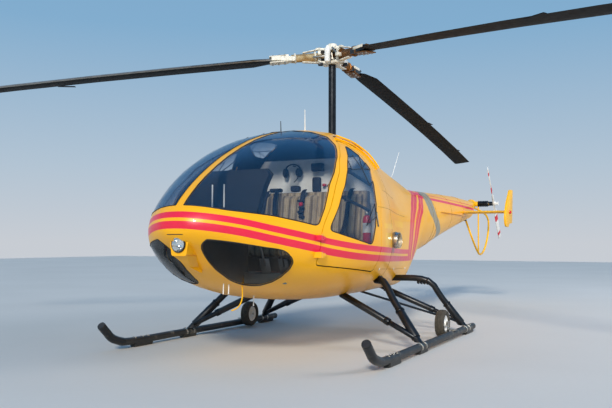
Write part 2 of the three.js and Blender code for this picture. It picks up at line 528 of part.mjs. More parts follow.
// Lamp, aerials, drain tubes and the vent hose that hangs from the belly.
add('landing_light', lampBar(LAMP.back + FIT, LAMP.x - 4, LAMP.lens), WHITE, 0.2);
const outside = (body) => body.subtract(grownBody);
add('aerial_front', outside(bar([1090, 0, 1880], [1096, 0, 1990], 5, 3, 8)), BLACK, 0.5);
add('aerial_mid', outside(bar([617, 0, 1960], [620, 0, 2170], 6, 3, 8)), WHITE, 0.5);
add('aerial_rear', outside(bar([-1690, 0, 1640], [-2030, 0, 2056], 5, 3, 8)), WHITE, 0.5);
const DRAINS = [
  { name: 'drain_front', x: 2085, y: 57, low: 530, lean: 8 },
  { name: 'drain_side', x: 2066, y: 92, low: 530, lean: 8 },
  { name: 'drain_rear', x: 1696, y: 90, low: 415, lean: 6 },
];
for (const { name, x, y, low, lean } of DRAINS) {
  add(name, largest(outside(bar([x + lean, y, low], [x, y, low + 105], 8, 8, 10))), WHITE, 0.6);
}
const HOSE = [[2030, 183, 620], [2030, 185, 575], [2030, 189, 526], [2030, 184, 490], [2030, 172, 460],
  [2030, 154, 434], [2030, 128, 416], [2030, 94, 405]];
add('vent_hose', largest(outside(tube(HOSE, 5, 14, 6))), YELLOW, 0.6);
export default part;
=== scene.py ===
"""The looks of a light three-seat helicopter on skids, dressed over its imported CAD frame.

Stations are metres forward of the main mast, as in the part's source. `at` turns them into the
row frame: +X to the nose, +Y to port, +Z up, with the ground at Z = 0.
"""

import logging
import math
from contextlib import contextmanager
from dataclasses import dataclass
from enum import Enum
from typing import Iterator, Sequence

import bpy
import numpy as np
from mathutils import Matrix, Vector
from mathutils.bvhtree import BVHTree


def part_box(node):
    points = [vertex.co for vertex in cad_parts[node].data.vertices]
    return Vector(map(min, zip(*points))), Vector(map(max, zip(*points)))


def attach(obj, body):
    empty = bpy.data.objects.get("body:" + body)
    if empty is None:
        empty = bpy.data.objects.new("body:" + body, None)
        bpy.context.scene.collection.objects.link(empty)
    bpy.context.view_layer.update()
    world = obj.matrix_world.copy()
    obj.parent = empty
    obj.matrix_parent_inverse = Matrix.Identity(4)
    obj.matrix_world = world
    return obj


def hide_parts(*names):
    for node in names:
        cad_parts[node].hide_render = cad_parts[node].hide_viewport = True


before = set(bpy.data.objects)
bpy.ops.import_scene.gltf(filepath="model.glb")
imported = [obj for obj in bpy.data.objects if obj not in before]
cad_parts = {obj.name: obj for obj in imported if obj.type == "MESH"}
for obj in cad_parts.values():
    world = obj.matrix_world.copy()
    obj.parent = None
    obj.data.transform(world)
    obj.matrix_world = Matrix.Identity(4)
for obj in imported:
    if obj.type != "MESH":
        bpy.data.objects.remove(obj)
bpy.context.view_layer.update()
LOG = logging.getLogger("helicopter")

MAST_X = 1.908   # the mast's place along the row frame
BLADE_TURNS = {"left": 60.0, "right": -60.0, "aft": 180.0}
SIDES = {"left": 1, "right": -1}
Piece = bpy.types.Object
Socket = bpy.types.NodeSocket
Pair = tuple[float, float]
Spot = tuple[float, float, float]
Line = tuple[Pair, ...]
Box = tuple[str, Spot, Spot, float, int]   # name, lowest and highest corner, bevel and its steps


def at(station: float, port: float, height: float) -> Vector:
    """Turns a station forward of the mast into a point of the row frame.

    Args:
        station: Metres forward of the mast.
        port: Metres to port of the centre line.
        height: Metres above the ground.

    Returns:
        The point in the row frame.
    """
    return Vector((station + MAST_X, port, height))


def linear(colour: str) -> tuple[float, float, float, float]:
    """Turns an sRGB hex colour into Blender's linear colour.

    Args:
        colour: A string such as "#f2b21c".

    Returns:
        Red, green, blue and an alpha of one.
    """
    parts = [int(colour[i:i + 2], 16) / 255 for i in (1, 3, 5)]
    lit = [c / 12.92 if c <= 0.04045 else ((c + 0.055) / 1.055) ** 2.4 for c in parts]
    return (*lit, 1.0)


class Graph:
    """A material's node tree, with one way of adding to it."""

    def __init__(self, name: str) -> None:
        """Starts a material that holds only its shader and output."""
        self.material = bpy.data.materials.new(name)
        self.material.use_nodes = True
        self.tree = self.material.node_tree
        self.shader = self.tree.nodes["Principled BSDF"]

    def add(self, kind: str, settings: dict | None = None, inputs: dict | None = None,
            out: int | str = 0) -> Socket:
        """Adds a node with its settings and links.

        Args:
            kind: The node's type without "ShaderNode".
            settings: Values of the node's own properties.
            inputs: Values or output sockets for its input sockets.
            out: Which output to hand back.

        Returns:
            The output socket asked for.
        """
        node = self.tree.nodes.new("ShaderNode" + kind)
        for key, value in (settings or {}).items():
            setattr(node, key, value)
        for key, value in (inputs or {}).items():
            if isinstance(value, Socket):
                self.tree.links.new(value, node.inputs[key])
            else:
                node.inputs[key].default_value = value
        return node.outputs[out]

    def plug(self, socket: str, value: Socket | float | tuple) -> None:
        """Links or sets one socket of the shader."""
        if isinstance(value, Socket):
            self.tree.links.new(value, self.shader.inputs[socket])
        else:
            self.shader.inputs[socket].default_value = value


FAR = 9.0   # an edge beyond the whole object


def band(graph: Graph, value: Socket, low: float, high: float, soft: float = 0.0015) -> Socket:
    """A mask that is one where a value lies between two edges.

    Args:
        graph: The material's graph.
        value: What is measured.
        low: The lower edge.
        high: The upper edge.
        soft: Half the width over which each edge fades.

    Returns:
        The mask's socket.
    """
    smooth = {"interpolation_type": "SMOOTHSTEP"}
    rise, fall = (graph.add("MapRange", smooth, {
        "Value": value, "From Min": edge - soft, "From Max": edge + soft}) for edge in (low, high))
    return graph.add("Math", {"operation": "SUBTRACT"}, {0: rise, 1: fall})


def blended(graph: Graph, mask: Socket, under: Socket | tuple, over: Socket | tuple) -> Socket:
    """One colour over another where a mask is one.

    Args:
        graph: The material's graph.
        mask: Zero to one.
        under: The colour where the mask is zero.
        over: The colour where the mask is one.

    Returns:
        The colour's socket.
    """
    return graph.add("MixRGB", None, {"Fac": mask, "Color1": under, "Color2": over})


@dataclass(frozen=True)
class Finish:
    """A surface: what it is made of, its colours, and how it was worked.

    `grain` is the size in millimetres of its colour variation and `tooth` of its relief.
    """

    name: str
    colour: str
    shade: str
    roughness: float = 0.5
    metallic: float = 0.0
    grain: float = 40.0
    tooth: float = 0.0
    relief: float = 0.0
    coat: float = 0.0
    wear: str = ""
    gloss: float = 0.5

    def material(self) -> bpy.types.Material:
        """The finish's material, made once.

        Returns:
            The Blender material.
        """
        known = bpy.data.materials.get(self.name)
        return known or self.built()

    def colours(self, graph: Graph, place: Socket) -> Socket:
        """The base colour: two near shades over grain, and bare wear in patches that noise picks out."""
        cloud = graph.add("TexNoise", None, {"Vector": place, "Scale": 1000 / self.grain, "Detail": 5.0})
        mask = graph.add("MapRange", None, {"Value": cloud, "From Min": 0.35, "From Max": 0.65})
        colour = blended(graph, mask, linear(self.colour), linear(self.shade))
        if not self.wear:
            return colour
        patch = graph.add("TexNoise", None, {"Vector": place, "Scale": 9.0, "Detail": 9.0, "Roughness": 0.7})
        wear_and_shade = graph.add("MapRange", None, {"Value": patch, "From Min": 0.56, "From Max": 0.66})
        return blended(graph, wear_and_shade, colour, linear(self.wear))

    def built(self) -> bpy.types.Material:
        """Builds the node tree."""
        graph = Graph(self.name)
        place = graph.add("TexCoord", None, None, "Object")
        graph.plug("Base Color", self.colours(graph, place))
        graph.plug("Metallic", self.metallic)
        graph.plug("Coat Weight", self.coat)
        graph.plug("Coat Roughness", 0.04)
        graph.plug("Specular IOR Level", self.gloss)
        streak = graph.add("TexNoise", None, {"Vector": place, "Scale": 22.0, "Detail": 6.0})
        graph.plug("Roughness", graph.add("MapRange", None, {
            "Value": streak, "To Min": self.roughness * 0.8, "To Max": min(1.0, self.roughness * 1.25)}))
        if self.tooth:
            bumps = graph.add("TexNoise", None, {"Vector": place, "Scale": 1000 / self.tooth, "Detail": 3.0})
            graph.plug("Normal", graph.add("Bump", None, {
                "Height": bumps, "Strength": 0.6, "Distance": self.relief / 1000}))
        return graph.material


@dataclass(frozen=True)
class StripedPaint(Finish):
    """Sprayed and polished two-pack paint: deep yellow with a red double stripe and red bands aft.

    All places are metres. `line` is the stripes' middle height over the station and `stripes` their edges
    off it. `uprights` are the bands' stations and `lean` how far they lean with height. `lighter_patches`
    are patches of a lighter yellow, `boom_lines` the thin stripes on the tail cone, `ring` and `hoop` the
    bent grey band, and `marks` small patches, which lean with the bands where their second value says so.
    """

    red: str = "#e2203f"
    line: Line = (
        (-1.5, 0.783), (-0.77, 0.789), (0.12, 0.808), (0.747, 0.822), (1.172, 0.840), (1.566, 0.874),
        (1.867, 0.920), (2.174, 0.976), (2.447, 1.039), (2.636, 1.078), (2.7, 1.09))
    stripes: Line = ((0.012, 0.060), (-0.066, -0.012))
    lean: Line = (
        (0.80, -0.03), (0.858, 0.0), (0.957, 0.057), (1.092, 0.122), (1.213, 0.217), (1.302, 0.325),
        (1.414, 0.468), (1.518, 0.69), (1.60, 0.92))
    uprights: Line = ((-1.385, -1.270), (-1.258, -1.143), (-1.638, -1.552), (-1.540, -1.455))
    hoop: Line = (
        (0.95, -0.70), (1.062, -0.455), (1.209, -0.160), (1.335, 0.0), (1.478, -0.05), (1.60, -0.25))
    lighter_yellow: str = "#ffc200"
    lighter_patches: tuple[tuple[Pair, Pair], ...] = (
        ((0.29, 0.81), (1.045, 1.088)), ((-0.76, 0.03), (1.078, 1.140)), ((0.53, 0.765), (0.897, 1.006)))
    boom: Pair = (-5.29, -2.15)
    boom_lines: Line = ((1.483, 1.521), (1.551, 1.561))
    boom_fall: float = 0.01
    ring: Pair = (-2.575, -2.255)
    ring_colour: str = "#8f886f"
    marks: tuple[tuple[str, bool, Pair, Pair], ...] = (
        ("#ef4a1c", True, (-1.50, -1.44), (1.19, 1.315)), ("#e2203f", False, (-2.30, -2.03), (1.518, 1.552)),
        ("#26262a", False, (-2.66, -2.30), (1.518, 1.552)))
    # Soot below the exhausts; the same dark colour is also a painted shade low on the belly.
    soot_and_shade: str = "#3a2a18"
    belly_shade: Pair = (0.42, 0.62)
    stain: tuple[Pair, Pair] = ((0.16, 0.40), (0.82, 0.89))

    def colours(self, graph: Graph, place: Socket) -> Socket:
        """Yellow, lighter patches, the stripes, the bands and marks aft, sooty stains round the exhausts, and
        a painted shade low on the belly.
        """
        base = super().colours(graph, place)
        x = graph.add("SeparateXYZ", None, {0: place})
        z = x.node.outputs[2]
        middle = self.followed(graph, x, self.line, MAST_X)
        off = graph.add("Math", {"operation": "SUBTRACT"}, {0: z, 1: middle})
        lean = graph.add("Math", {"operation": "ADD"}, {0: x, 1: self.followed(graph, z, self.lean)})
        uprights = [(MAST_X + low, MAST_X + high) for low, high in self.uprights]
        stripes = self.union(graph, [band(graph, off, *edges) for edges in self.stripes])
        stripes = self.both(graph, stripes, band(graph, lean, uprights[1][1], FAR))
        bands = self.union(graph, [band(graph, lean, *edges, 0.004) for edges in uprights])
        bands = self.both(graph, bands, band(graph, off, self.stripes[1][0], FAR))
        fall = graph.add("Math", {"operation": "MULTIPLY_ADD"}, {0: x, 1: -self.boom_fall, 2: z})
        boom = [self.patch(graph, x, fall, self.boom, heights) for heights in self.boom_lines]
        mask = self.union(graph, [stripes, bands, *boom])
        lighter_yellow = self.union(graph, [self.patch(graph, x, z, *edges) for edges in self.lighter_patches])
        colour = blended(graph, self.both(graph, lighter_yellow, 0.8), base, linear(self.lighter_yellow))
        colour = blended(graph, mask, colour, linear(self.red))
        for tint, leaning, stations, heights in self.marks:
            shape = self.patch(graph, lean if leaning else x, z, stations, heights)
            colour = blended(graph, shape, colour, linear(tint))
        bent = graph.add("Math", {"operation": "SUBTRACT"}, {0: x, 1: self.followed(graph, z, self.hoop)})
        ring = band(graph, bent, *(MAST_X + edge for edge in self.ring), 0.004)
        colour = blended(graph, ring, colour, linear(self.ring_colour))
        return self.sooted_and_shaded(graph, colour, place, x, z)

    def followed(self, graph: Graph, value: Socket, table: Line, origin: float = 0.0) -> Socket:
        """Reads a table of pairs as a smooth curve over a coordinate.

        Args:
            graph: The material's graph.
            value: The coordinate.
            table: Pairs of a coordinate and a value, in metres.
            origin: Where the table's coordinate starts in the row frame.

        Returns:
            The value at the coordinate.
        """
        first, last = table[0][0], table[-1][0]
        low, high = min(v for _, v in table), max(v for _, v in table)
        share = graph.add("MapRange", None, {
            "Value": value, "From Min": first + origin, "From Max": last + origin})
        curve = graph.add("FloatCurve", None, {"Value": share})
        points = curve.node.mapping.curves[0].points
        spots = [((s - first) / (last - first), (v - low) / (high - low)) for s, v in table]
        points[0].location, points[1].location = spots[0], spots[-1]
        for spot in spots[1:-1]:
            points.new(*spot)
        curve.node.mapping.update()
        return graph.add("MapRange", None, {"Value": curve, "To Min": low, "To Max": high})

    def patch(self, graph: Graph, x: Socket, z: Socket, along: Pair, up: Pair) -> Socket:
        """A rectangle between two stations and two heights."""
        first, last = (MAST_X + station for station in along)
        return self.both(graph, band(graph, x, first, last, 0.003), band(graph, z, *up))

    def both(self, graph: Graph, one: Socket, other: Socket | float) -> Socket:
        """Where two masks overlap."""
        return graph.add("Math", {"operation": "MULTIPLY"}, {0: one, 1: other})

    def union(self, graph: Graph, masks: list[Socket]) -> Socket:
        """The larger of several masks at each place."""
        whole = masks[0]
        for mask in masks[1:]:
            whole = graph.add("Math", {"operation": "MAXIMUM"}, {0: whole, 1: mask})
        return whole

    def sooted_and_shaded(self, graph: Graph, colour: Socket, place: Socket, x: Socket, z: Socket) -> Socket:
        """Soot below the exhausts, and a painted shade that darkens the belly towards the bottom."""
        # Painted shade: the paint darkens towards the bottom of the belly.
        down = graph.add("MapRange", {"interpolation_type": "SMOOTHSTEP"}, {
            "Value": z, "From Min": self.belly_shade[0], "From Max": self.belly_shade[1], "To Min": 0.55, "To Max": 0.0})
        stations, heights = self.stain
        beside = band(graph, x, *(MAST_X + station for station in stations), 0.09)
        below = band(graph, z, *heights, 0.03)
        stain = graph.add("Math", {"operation": "MULTIPLY"}, {0: beside, 1: below})
        cloud = graph.add("TexNoise", None, {"Vector": place, "Scale": 14.0, "Detail": 8.0})
        most = graph.add("Math", {"operation": "MAXIMUM"}, {0: down, 1: stain})
        mask = graph.add("Math", {"operation": "MULTIPLY", "use_clamp": True}, {0: most, 1: cloud})
        return blended(graph, mask, colour, linear(self.soot_and_shade))


@dataclass(frozen=True)
class CappedLining(Finish):
    """A pale lining, dark above a height."""

    height: float = 1.72
    cap: str = "#20242b"

    def colours(self, graph: Graph, place: Socket) -> Socket:
        """Pale below, dark above."""
        parts = graph.add("SeparateXYZ", None, {0: place})
        above = band(graph, parts.node.outputs[2], self.height, FAR)
        return blended(graph, above, super().colours(graph, place), linear(self.cap))


@dataclass(frozen=True)
class Glass(Finish):
    """Clear sheet: light passes each face, less of it at a low angle, where its base colour takes over as a
    painted reflection.
    """

    share: float = 0.13
    rim: float = 0.72
    index: float = 1.6

    def built(self) -> bpy.types.Material:
        """Builds the see-through material."""
        graph = Graph(self.name)
        graph.plug("Base Color", linear(self.colour))
        graph.plug("Roughness", self.roughness)
        graph.plug("IOR", self.index)
        facing = graph.add("LayerWeight", None, {"Blend": 0.5}, "Facing")
        # Painted reflection: the base colour covers more of the glass at a low angle.
        graph.plug("Alpha", graph.add("MapRange", {"interpolation_type": "SMOOTHSTEP"}, {
            "Value": facing, "From Min": 0.42, "From Max": 0.98, "To Min": self.share, "To Max": self.rim}))
        return graph.material


@dataclass(frozen=True)
class Cloth(Finish):
    """Woven seat cloth, with a painted shade that darkens it along its sewn channels.

    The real threads are under a millimetre apart, so they are drawn 3 mm apart to show in the render.
    """

    thread: float = 3.0
    channel: float = 0.44 / 6
    groove_shade: str = "#5b4c38"

    def built(self) -> bpy.types.Material:
        """Builds the weave from two crossed waves."""
        graph = Graph(self.name)
        place = graph.add("TexCoord", None, None, "Object")
        colour = self.colours(graph, place)
        pitch = 1000 / self.thread / 20
        warp = graph.add("TexWave", {"bands_direction": "Y"}, {"Vector": place, "Scale": pitch})
        weft = graph.add("TexWave", {"bands_direction": "Z"}, {"Vector": place, "Scale": pitch})
        weave = graph.add("MixRGB", {"blend_type": "MULTIPLY"}, {"Fac": 0.5, "Color1": warp, "Color2": weft})
        # Painted shade: the colour darkens towards each sewn groove.
        swell = graph.add("TexWave", {"bands_direction": "Y"}, {
            "Vector": place, "Scale": math.pi / 10 / self.channel})
        wear_and_shade = graph.add("MapRange", None, {"Value": swell, "From Max": 0.45, "To Min": 0.75, "To Max": 0.0})
        colour = blended(graph, wear_and_shade, colour, linear(self.groove_shade))
        graph.plug("Base Color", graph.add("MixRGB", {"blend_type": "MULTIPLY"}, {
            "Fac": 0.35, "Color1": colour, "Color2": weave}))
        graph.plug("Roughness", self.roughness)
        graph.plug("Sheen Weight", 0.3)
        graph.plug("Normal", graph.add("Bump", None, {"Height": weave, "Strength": 0.5, "Distance": 0.0006}))
        return graph.material


class Surface(Enum):
    """Every finish on the aircraft, with what it gives the eye."""

    # Sprayed and polished: an even deep yellow, a thin gloss and a trace of orange peel.
    BODY = StripedPaint("two_pack_yellow_paint", "#fbb404", "#f6ac02", 0.34, grain=900, tooth=9, relief=0.04,
                        coat=0.2, gloss=0.42)
    # Brushed on small parts: the same yellow, flatter and slightly uneven.
    YELLOW = Finish("brushed_yellow_paint", "#fbba0e", "#f2b009", 0.4, grain=150, coat=0.1, gloss=0.25)
    # Clear face on; at a low angle its blue is a painted reflection of the sky.
    GLASS = Glass("acrylic_painted_sky", "#1b4d76", "#1b4d76", 0.02)
    # Painted shade: near-black glass on the chin windows, so that the cabin behind them looks dark.
    SHADED_CHIN_GLASS = Glass("smoked_acrylic", "#05080b", "#05080b", 0.02, share=0.34, rim=0.6, index=1.5)
    # Pressed, almost colourless over the bright bowl.
    LENS = Glass("lamp_glass", "#c8d2d6", "#c8d2d6", 0.04, share=0.10, rim=0.4)
    # On tubes: black with a soft long highlight.
    BLACK = Finish("satin_black_enamel", "#0e1014", "#14171b", 0.36, grain=60, tooth=14, relief=0.1)
    # Scuffed by the ground: greyer, with pale bare patches.
    WORN = Finish("worn_black_enamel", "#2f2d2a", "#232322", 0.45, grain=70, tooth=20, relief=0.2,
                  wear="#5f5a50")
    # Matt: a warm near-black that hardly shines.
    BLADE = Finish("dull_blade_paint", "#070504", "#0d0a08", 0.6, grain=120, tooth=25, relief=0.1, gloss=0.14)
    # Rubbed bare: a grey line along a blade's front.
    EDGE = Finish("bare_stainless_edge", "#9b9994", "#85837e", 0.4, 0.8, grain=90)
    # Spun and polished: mirrors the studio.
    CHROME = Finish("polished_reflector", "#f6f6f4", "#ececea", 0.08, 1.0, grain=30)
    # Bright grey with fine tool marks.
    STEEL = Finish("turned_steel", "#b7b2a8", "#a39d92", 0.35, 1.0, grain=30, tooth=6, relief=0.05)
    # A pale gold that goes brown in patches.
    PLATED = Finish("cadmium_plated_steel", "#d3b98a", "#a98656", 0.42, 0.6, grain=35, tooth=8, relief=0.1)
    # Brushed primer: cream, chipped to a dull grey.
    CREAM = Finish("cream_primed_forging", "#e9e4d6", "#cfc7b2", 0.45, grain=30, tooth=10, relief=0.1,
                   wear="#8d8574")
    # Clean white with a light gloss.
    WHITE = Finish("white_enamel", "#f1efe9", "#e2dfd6", 0.35, grain=80, coat=0.2)
    # Dark, with sharp small highlights.
    OILED = Finish("oiled_dark_steel", "#3a3c3f", "#2a2c2e", 0.32, 0.9, grain=50)
    # Silver with straw patches.
    SOOTED = Finish("heat_stained_steel", "#d6d2ca", "#b3ab9e", 0.26, 1.0, grain=25, tooth=10, relief=0.1)
    # Inside the exhausts: a light tan, partly sooty and partly painted light where the sun falls on the inner
    # wall.
    SOOT_AND_LIGHT = Finish("baked_soot_and_light", "#cbbda3", "#a3957e", 0.5, 0.5, grain=20)
    # Fabric: dark and without a shine, on the shell's inner faces.
    HEADLINER = Finish("dark_headliner", "#20242b", "#272b33", 0.85, grain=90, tooth=7, relief=0.2)
    # Soft black.
    RUBBER = Finish("moulded_rubber", "#1c1b19", "#262420", 0.8, grain=30, tooth=5, relief=0.2)
    # Black under brown dust.
    DUSTY = Finish("dusty_tyre_rubber", "#4c463b", "#3a362e", 0.85, grain=25, tooth=5, relief=0.3)
    # A thin dark line round each window.
    SEAL = Finish("window_sealant", "#1a1a1a", "#242423", 0.6, grain=40)
    # The shadow in a joint of yellow panels: a brown line.
    SEAM = Finish("panel_joint", "#a8740c", "#8e600a", 0.7, grain=40)
    # Woven in channels: sandy, with a painted brown shade along the seams.
    CLOTH = Cloth("channelled_seat_cloth", "#cdb791", "#b7a17c", 0.9, grain=90)
    # Woven: dark blue-grey with a fine tooth.
    WEBBING = Finish("nylon_webbing", "#1b1c22", "#26272e", 0.75, grain=12, tooth=3, relief=0.2)
    # A clear red with a soft gloss.
    RED = Finish("red_moulded_plastic", "#c81a24", "#b3141e", 0.35, grain=40)
    # Nearly white below a height, dark above it.
    BULKHEAD = CappedLining("bulkhead_lining", "#f1f1ea", "#e4e3da", 0.7, grain=160, tooth=12, relief=0.1)
    # A warm brown metal.
    BRASS = Finish("brown_anodised_alloy", "#8a5a26", "#6b431c", 0.4, 0.7, grain=40, tooth=9, relief=0.05)
    # Rubber: charcoal, rough.
    MAT = Finish("ribbed_floor_mat", "#1f2022", "#2a2b2d", 0.85, grain=40, tooth=6, relief=0.4)
    # Painted: a dull teal grey.
    TRAY = Finish("teal_grey_sheet", "#6d7f84", "#5c6d72", 0.5, grain=60)
    # Black with a fine leathery tooth.
    PLASTIC = Finish("moulded_abs", "#17181a", "#202123", 0.55, grain=30, tooth=2, relief=0.08)
    # Over black dials: dark with a sharp gloss.
    DIAL = Finish("instrument_glass", "#0a0d10", "#10161a", 0.12, grain=30, coat=0.6)
    # Rolled: light grey, faintly streaked.
    ALLOY = Finish("mill_aluminium", "#b9bbba", "#a3a5a4", 0.42, 0.9, grain=120, tooth=10, relief=0.05)
    # Moulded: red to port, green to starboard.
    PORT = Finish("port_lamp_lens", "#d21414", "#b00e0e", 0.15, grain=20, coat=0.5)
    STARBOARD = Finish("starboard_lamp_lens", "#12a04a", "#0e8a3e", 0.15, grain=20, coat=0.5)
    # Pale and matt, not part of the object.
    FLOOR = Finish("pale_studio_floor", "#cfccc4", "#cac7bf", 0.75, grain=2500)


def paint(piece: Piece, surface: Surface) -> None:
    """Gives a piece one finish all over."""
    piece.data.materials.clear()
    piece.data.materials.append(surface.value.material())


def select_only(*pieces: Piece) -> None:
    """Deselects everything, then selects these pieces and makes the first one active."""
    bpy.ops.object.select_all(action="DESELECT")
    for piece in pieces:
        piece.select_set(True)
    bpy.context.view_layer.objects.active = pieces[0]


@contextmanager
def editing(piece: Piece) -> Iterator[None]:
    """Edit mode on one piece, with its whole mesh selected, and back."""
    select_only(piece)
    bpy.ops.object.mode_set(mode="EDIT")
    bpy.ops.mesh.select_all(action="SELECT")
    yield
    bpy.ops.object.mode_set(mode="OBJECT")


def modified(piece: Piece, kind: str, **settings: object) -> Piece:
    """Adds a modifier and applies it.

    Args:
        piece: The piece to change.
        kind: The modifier's type.
        settings: Its properties.

    Returns:
        The piece.
    """
    modifier = piece.modifiers.new(kind.title(), kind)
    for key, value in settings.items():
        setattr(modifier, key, value)
    select_only(piece)
    bpy.ops.object.modifier_apply(modifier=modifier.name)
    return piece


def eased(piece: Piece, width: float, segments: int = 2) -> Piece:
    """Breaks the sharp edges of a piece, those past 40 degrees, with a small bevel."""
    return modified(piece, "BEVEL", width=width, segments=segments, limit_method="ANGLE",
                    angle_limit=math.radians(40))


def applied(piece: Piece) -> Piece:
    """Moves a piece's place, turn and scale into its mesh."""
    select_only(piece)
    bpy.ops.object.transform_apply(location=True, rotation=True, scale=True)
    return piece


def linked(name: str, data: bpy.types.ID) -> Piece:
    """Puts a new object in the scene.

    Args:
        name: The object's name.
        data: Its mesh, curve, lamp or camera.

    Returns:
        The object.
    """
    piece = bpy.data.objects.new(name, data)
    bpy.context.scene.collection.objects.link(piece)
    return piece


def meshed(name: str, spots: Sequence[Sequence[float]], edges: Sequence[tuple[int, int]],
           faces: Sequence[tuple[int, ...]]) -> Piece:
    """Puts a new mesh in the scene.

    Args:
        name: The piece's name.
        spots: Its vertices.
        edges: Pairs of vertices that are joined, where no face joins them.
        faces: The vertices of each face.

    Returns:
        The new piece.
    """
    mesh = bpy.data.meshes.new(name)
    mesh.from_pydata(spots, edges, faces)
    return linked(name, mesh)


def towards(axis: Sequence[float]) -> Matrix:
    """The turn that points a piece's Z along an axis."""
    return Vector(axis).to_track_quat("Z", "Y").to_matrix().to_4x4()


def traced(name: str, points: Sequence[Sequence[float]]) -> Piece:
    """A line of edges from point to point, drawn by extruding one vertex.

    Args:
        name: The piece's name.
        points: Where it passes.

    Returns:
        The new piece.
    """
    bpy.ops.object.select_all(action="DESELECT")
    bpy.ops.mesh.primitive_plane_add(size=0.01)
    piece = bpy.context.object
    piece.name = name
    with editing(piece):
        bpy.ops.mesh.merge(type="CENTER")
        bpy.ops.transform.translate(value=points[0])
        for start, end in zip(points, points[1:]):
            bpy.ops.mesh.extrude_region_move(TRANSFORM_OT_translate={"value": Vector(end) - Vector(start)})
    return piece


def drawn_out(name: str, outline: Sequence[Sequence[float]], sweep: Sequence[float]) -> Piece:
    """A filled ring, pulled to an outline and drawn out into a solid.

    Args:
        name: The piece's name.
        outline: Its corners, going round.
        sweep: How far and which way it is drawn out.

    Returns:
        The new piece.
    """
    bpy.ops.object.select_all(action="DESELECT")
    bpy.ops.mesh.primitive_circle_add(vertices=len(outline), fill_type="NGON")
    piece = bpy.context.object
    piece.name = name
    for corner, spot in zip(piece.data.vertices, outline):
        corner.co = spot
    with editing(piece):
        bpy.ops.mesh.extrude_region_move(TRANSFORM_OT_translate={"value": sweep})
        bpy.ops.mesh.select_all(action="SELECT")
        bpy.ops.mesh.normals_make_consistent(inside=False)
    return piece


def prism(name: str, outline: Sequence[Pair], low: float, high: float) -> Piece:
    """A pad's start shape: an outline in side view, drawn out across the aircraft.

    Args:
        name: The piece's name.
        outline: Corners as station and height.
        low: The starboard end.
        high: The port end.

    Returns:
        The new piece.
    """
    count = len(outline)
    faces = [tuple(range(count)), tuple(range(2 * count - 1, count - 1, -1))]
    faces += [(i, i + count, (i + 1) % count + count, (i + 1) % count) for i in range(count)]
    spots = [(x, port, z) for port in (low, high) for x, z in outline]
    piece = meshed(name, spots, [], faces)
    with editing(piece):
        bpy.ops.mesh.normals_make_consistent(inside=False)
    return piece


def rod(name: str, start: Sequence[float], end: Sequence[float], radius: float,
        far: float | None = None, sides: int = 24, rim: float = 0.0) -> Piece:
    """A turned bar or taper with broken rims.

    Args:
        name: The piece's name.
        start: One end's centre.
        end: The other end's centre.
        radius: Its radius at the start.
        far: Its radius at the end, when it tapers.
        sides: How many faces go round.
        rim: The bevel's width, or zero for 0.08 of the radius.

    Returns:
        The new piece.
    """
    first, last = Vector(start), Vector(end)
    span = last - first
    bpy.ops.object.select_all(action="DESELECT")
    bpy.ops.mesh.primitive_cone_add(
        vertices=sides, radius1=radius, radius2=radius if far is None else far, depth=span.length,
        location=(first + last) / 2, rotation=span.to_track_quat("Z", "Y").to_euler())
    piece = bpy.context.object
    piece.name = name
    return eased(applied(piece), rim or max(0.0006, radius * 0.08))


def block(name: str, low: Sequence[float], high: Sequence[float], rim: float = 0.003,
          segments: int = 2) -> Piece:
    """A milled block with broken edges.

    Args:
        name: The piece's name.
        low: Its lowest corner.
        high: Its highest corner.
        rim: The bevel's width.
        segments: Steps round each broken edge.

    Returns:
        The new piece.
    """
    first, last = Vector(low), Vector(high)
    bpy.ops.object.select_all(action="DESELECT")
    bpy.ops.mesh.primitive_cube_add(size=1, location=(first + last) / 2)
    piece = bpy.context.object
    piece.name = name
    piece.scale = last - first
    return eased(applied(piece), rim, segments)


def blocks(rows: Sequence[Box], origin: Vector | None = None, suffix: str = "") -> list[Piece]:
    """Milled blocks from a table.

    Args:
        rows: Name, lowest corner, highest corner, bevel width and bevel steps of each.
        origin: What its corners are measured from, or None for the frame's origin.
        suffix: What is added to each name.

    Returns:
        The new pieces.
    """
    base = origin or Vector()
    return [block(label + suffix, base + Vector(low), base + Vector(high), rim, steps)
            for label, low, high, rim, steps in rows]


def turned(name: str, profile: Sequence[Pair], centre: Sequence[float],
           axis: Sequence[float] = (0, 0, 1), steps: int = 40) -> Piece:
    """A lathe piece: a profile of radius and height spun round an axis.

    Args:
        name: The piece's name.
        profile: Radius and height along the axis, in order.
        centre: Where height zero lies.
        axis: The direction of the axis.
        steps: How many faces go round.

    Returns:
        The new piece.
    """
    piece = traced(name, [(radius, 0, height) for radius, height in profile])
    modified(piece, "SCREW", angle=math.tau, screw_offset=0, steps=steps, render_steps=steps,
             use_merge_vertices=True, merge_threshold=1e-5)
    with editing(piece):
        bpy.ops.mesh.remove_doubles(threshold=1e-5)
        bpy.ops.mesh.normals_make_consistent(inside=False)
    piece.data.transform(Matrix.Translation(Vector(centre)) @ towards(axis))
    return piece


def pipe(name: str, points: Sequence[Sequence[float]], radius: float, sides: int = 6,
         closed: bool = False, smooth: bool = True) -> Piece:
    """A bent tube through points.

    Args:
        name: The piece's name.
        points: Where its centre line passes.
        radius: The tube's radius.
        sides: Half the faces that go round.
        closed: Whether it is a loop.
        smooth: Whether it curves between the points.

    Returns:
        The new piece, as a mesh.
    """
    curve = bpy.data.curves.new(name, "CURVE")
    curve.dimensions = "3D"
    curve.bevel_depth = radius
    curve.bevel_resolution = sides
    curve.resolution_u = 8
    curve.use_fill_caps = not closed
    spline = curve.splines.new("BEZIER" if smooth else "POLY")
    if smooth:
        spline.bezier_points.add(len(points) - 1)
        for spot, point in zip(spline.bezier_points, points):
            spot.co = point
            spot.handle_left_type = spot.handle_right_type = "AUTO"
    else:
        spline.points.add(len(points) - 1)
        for spot, point in zip(spline.points, points):
            spot.co = (*point, 1)
    spline.use_cyclic_u = closed
    select_only(linked(name, curve))
    bpy.ops.object.convert(target="MESH")
    return bpy.context.object


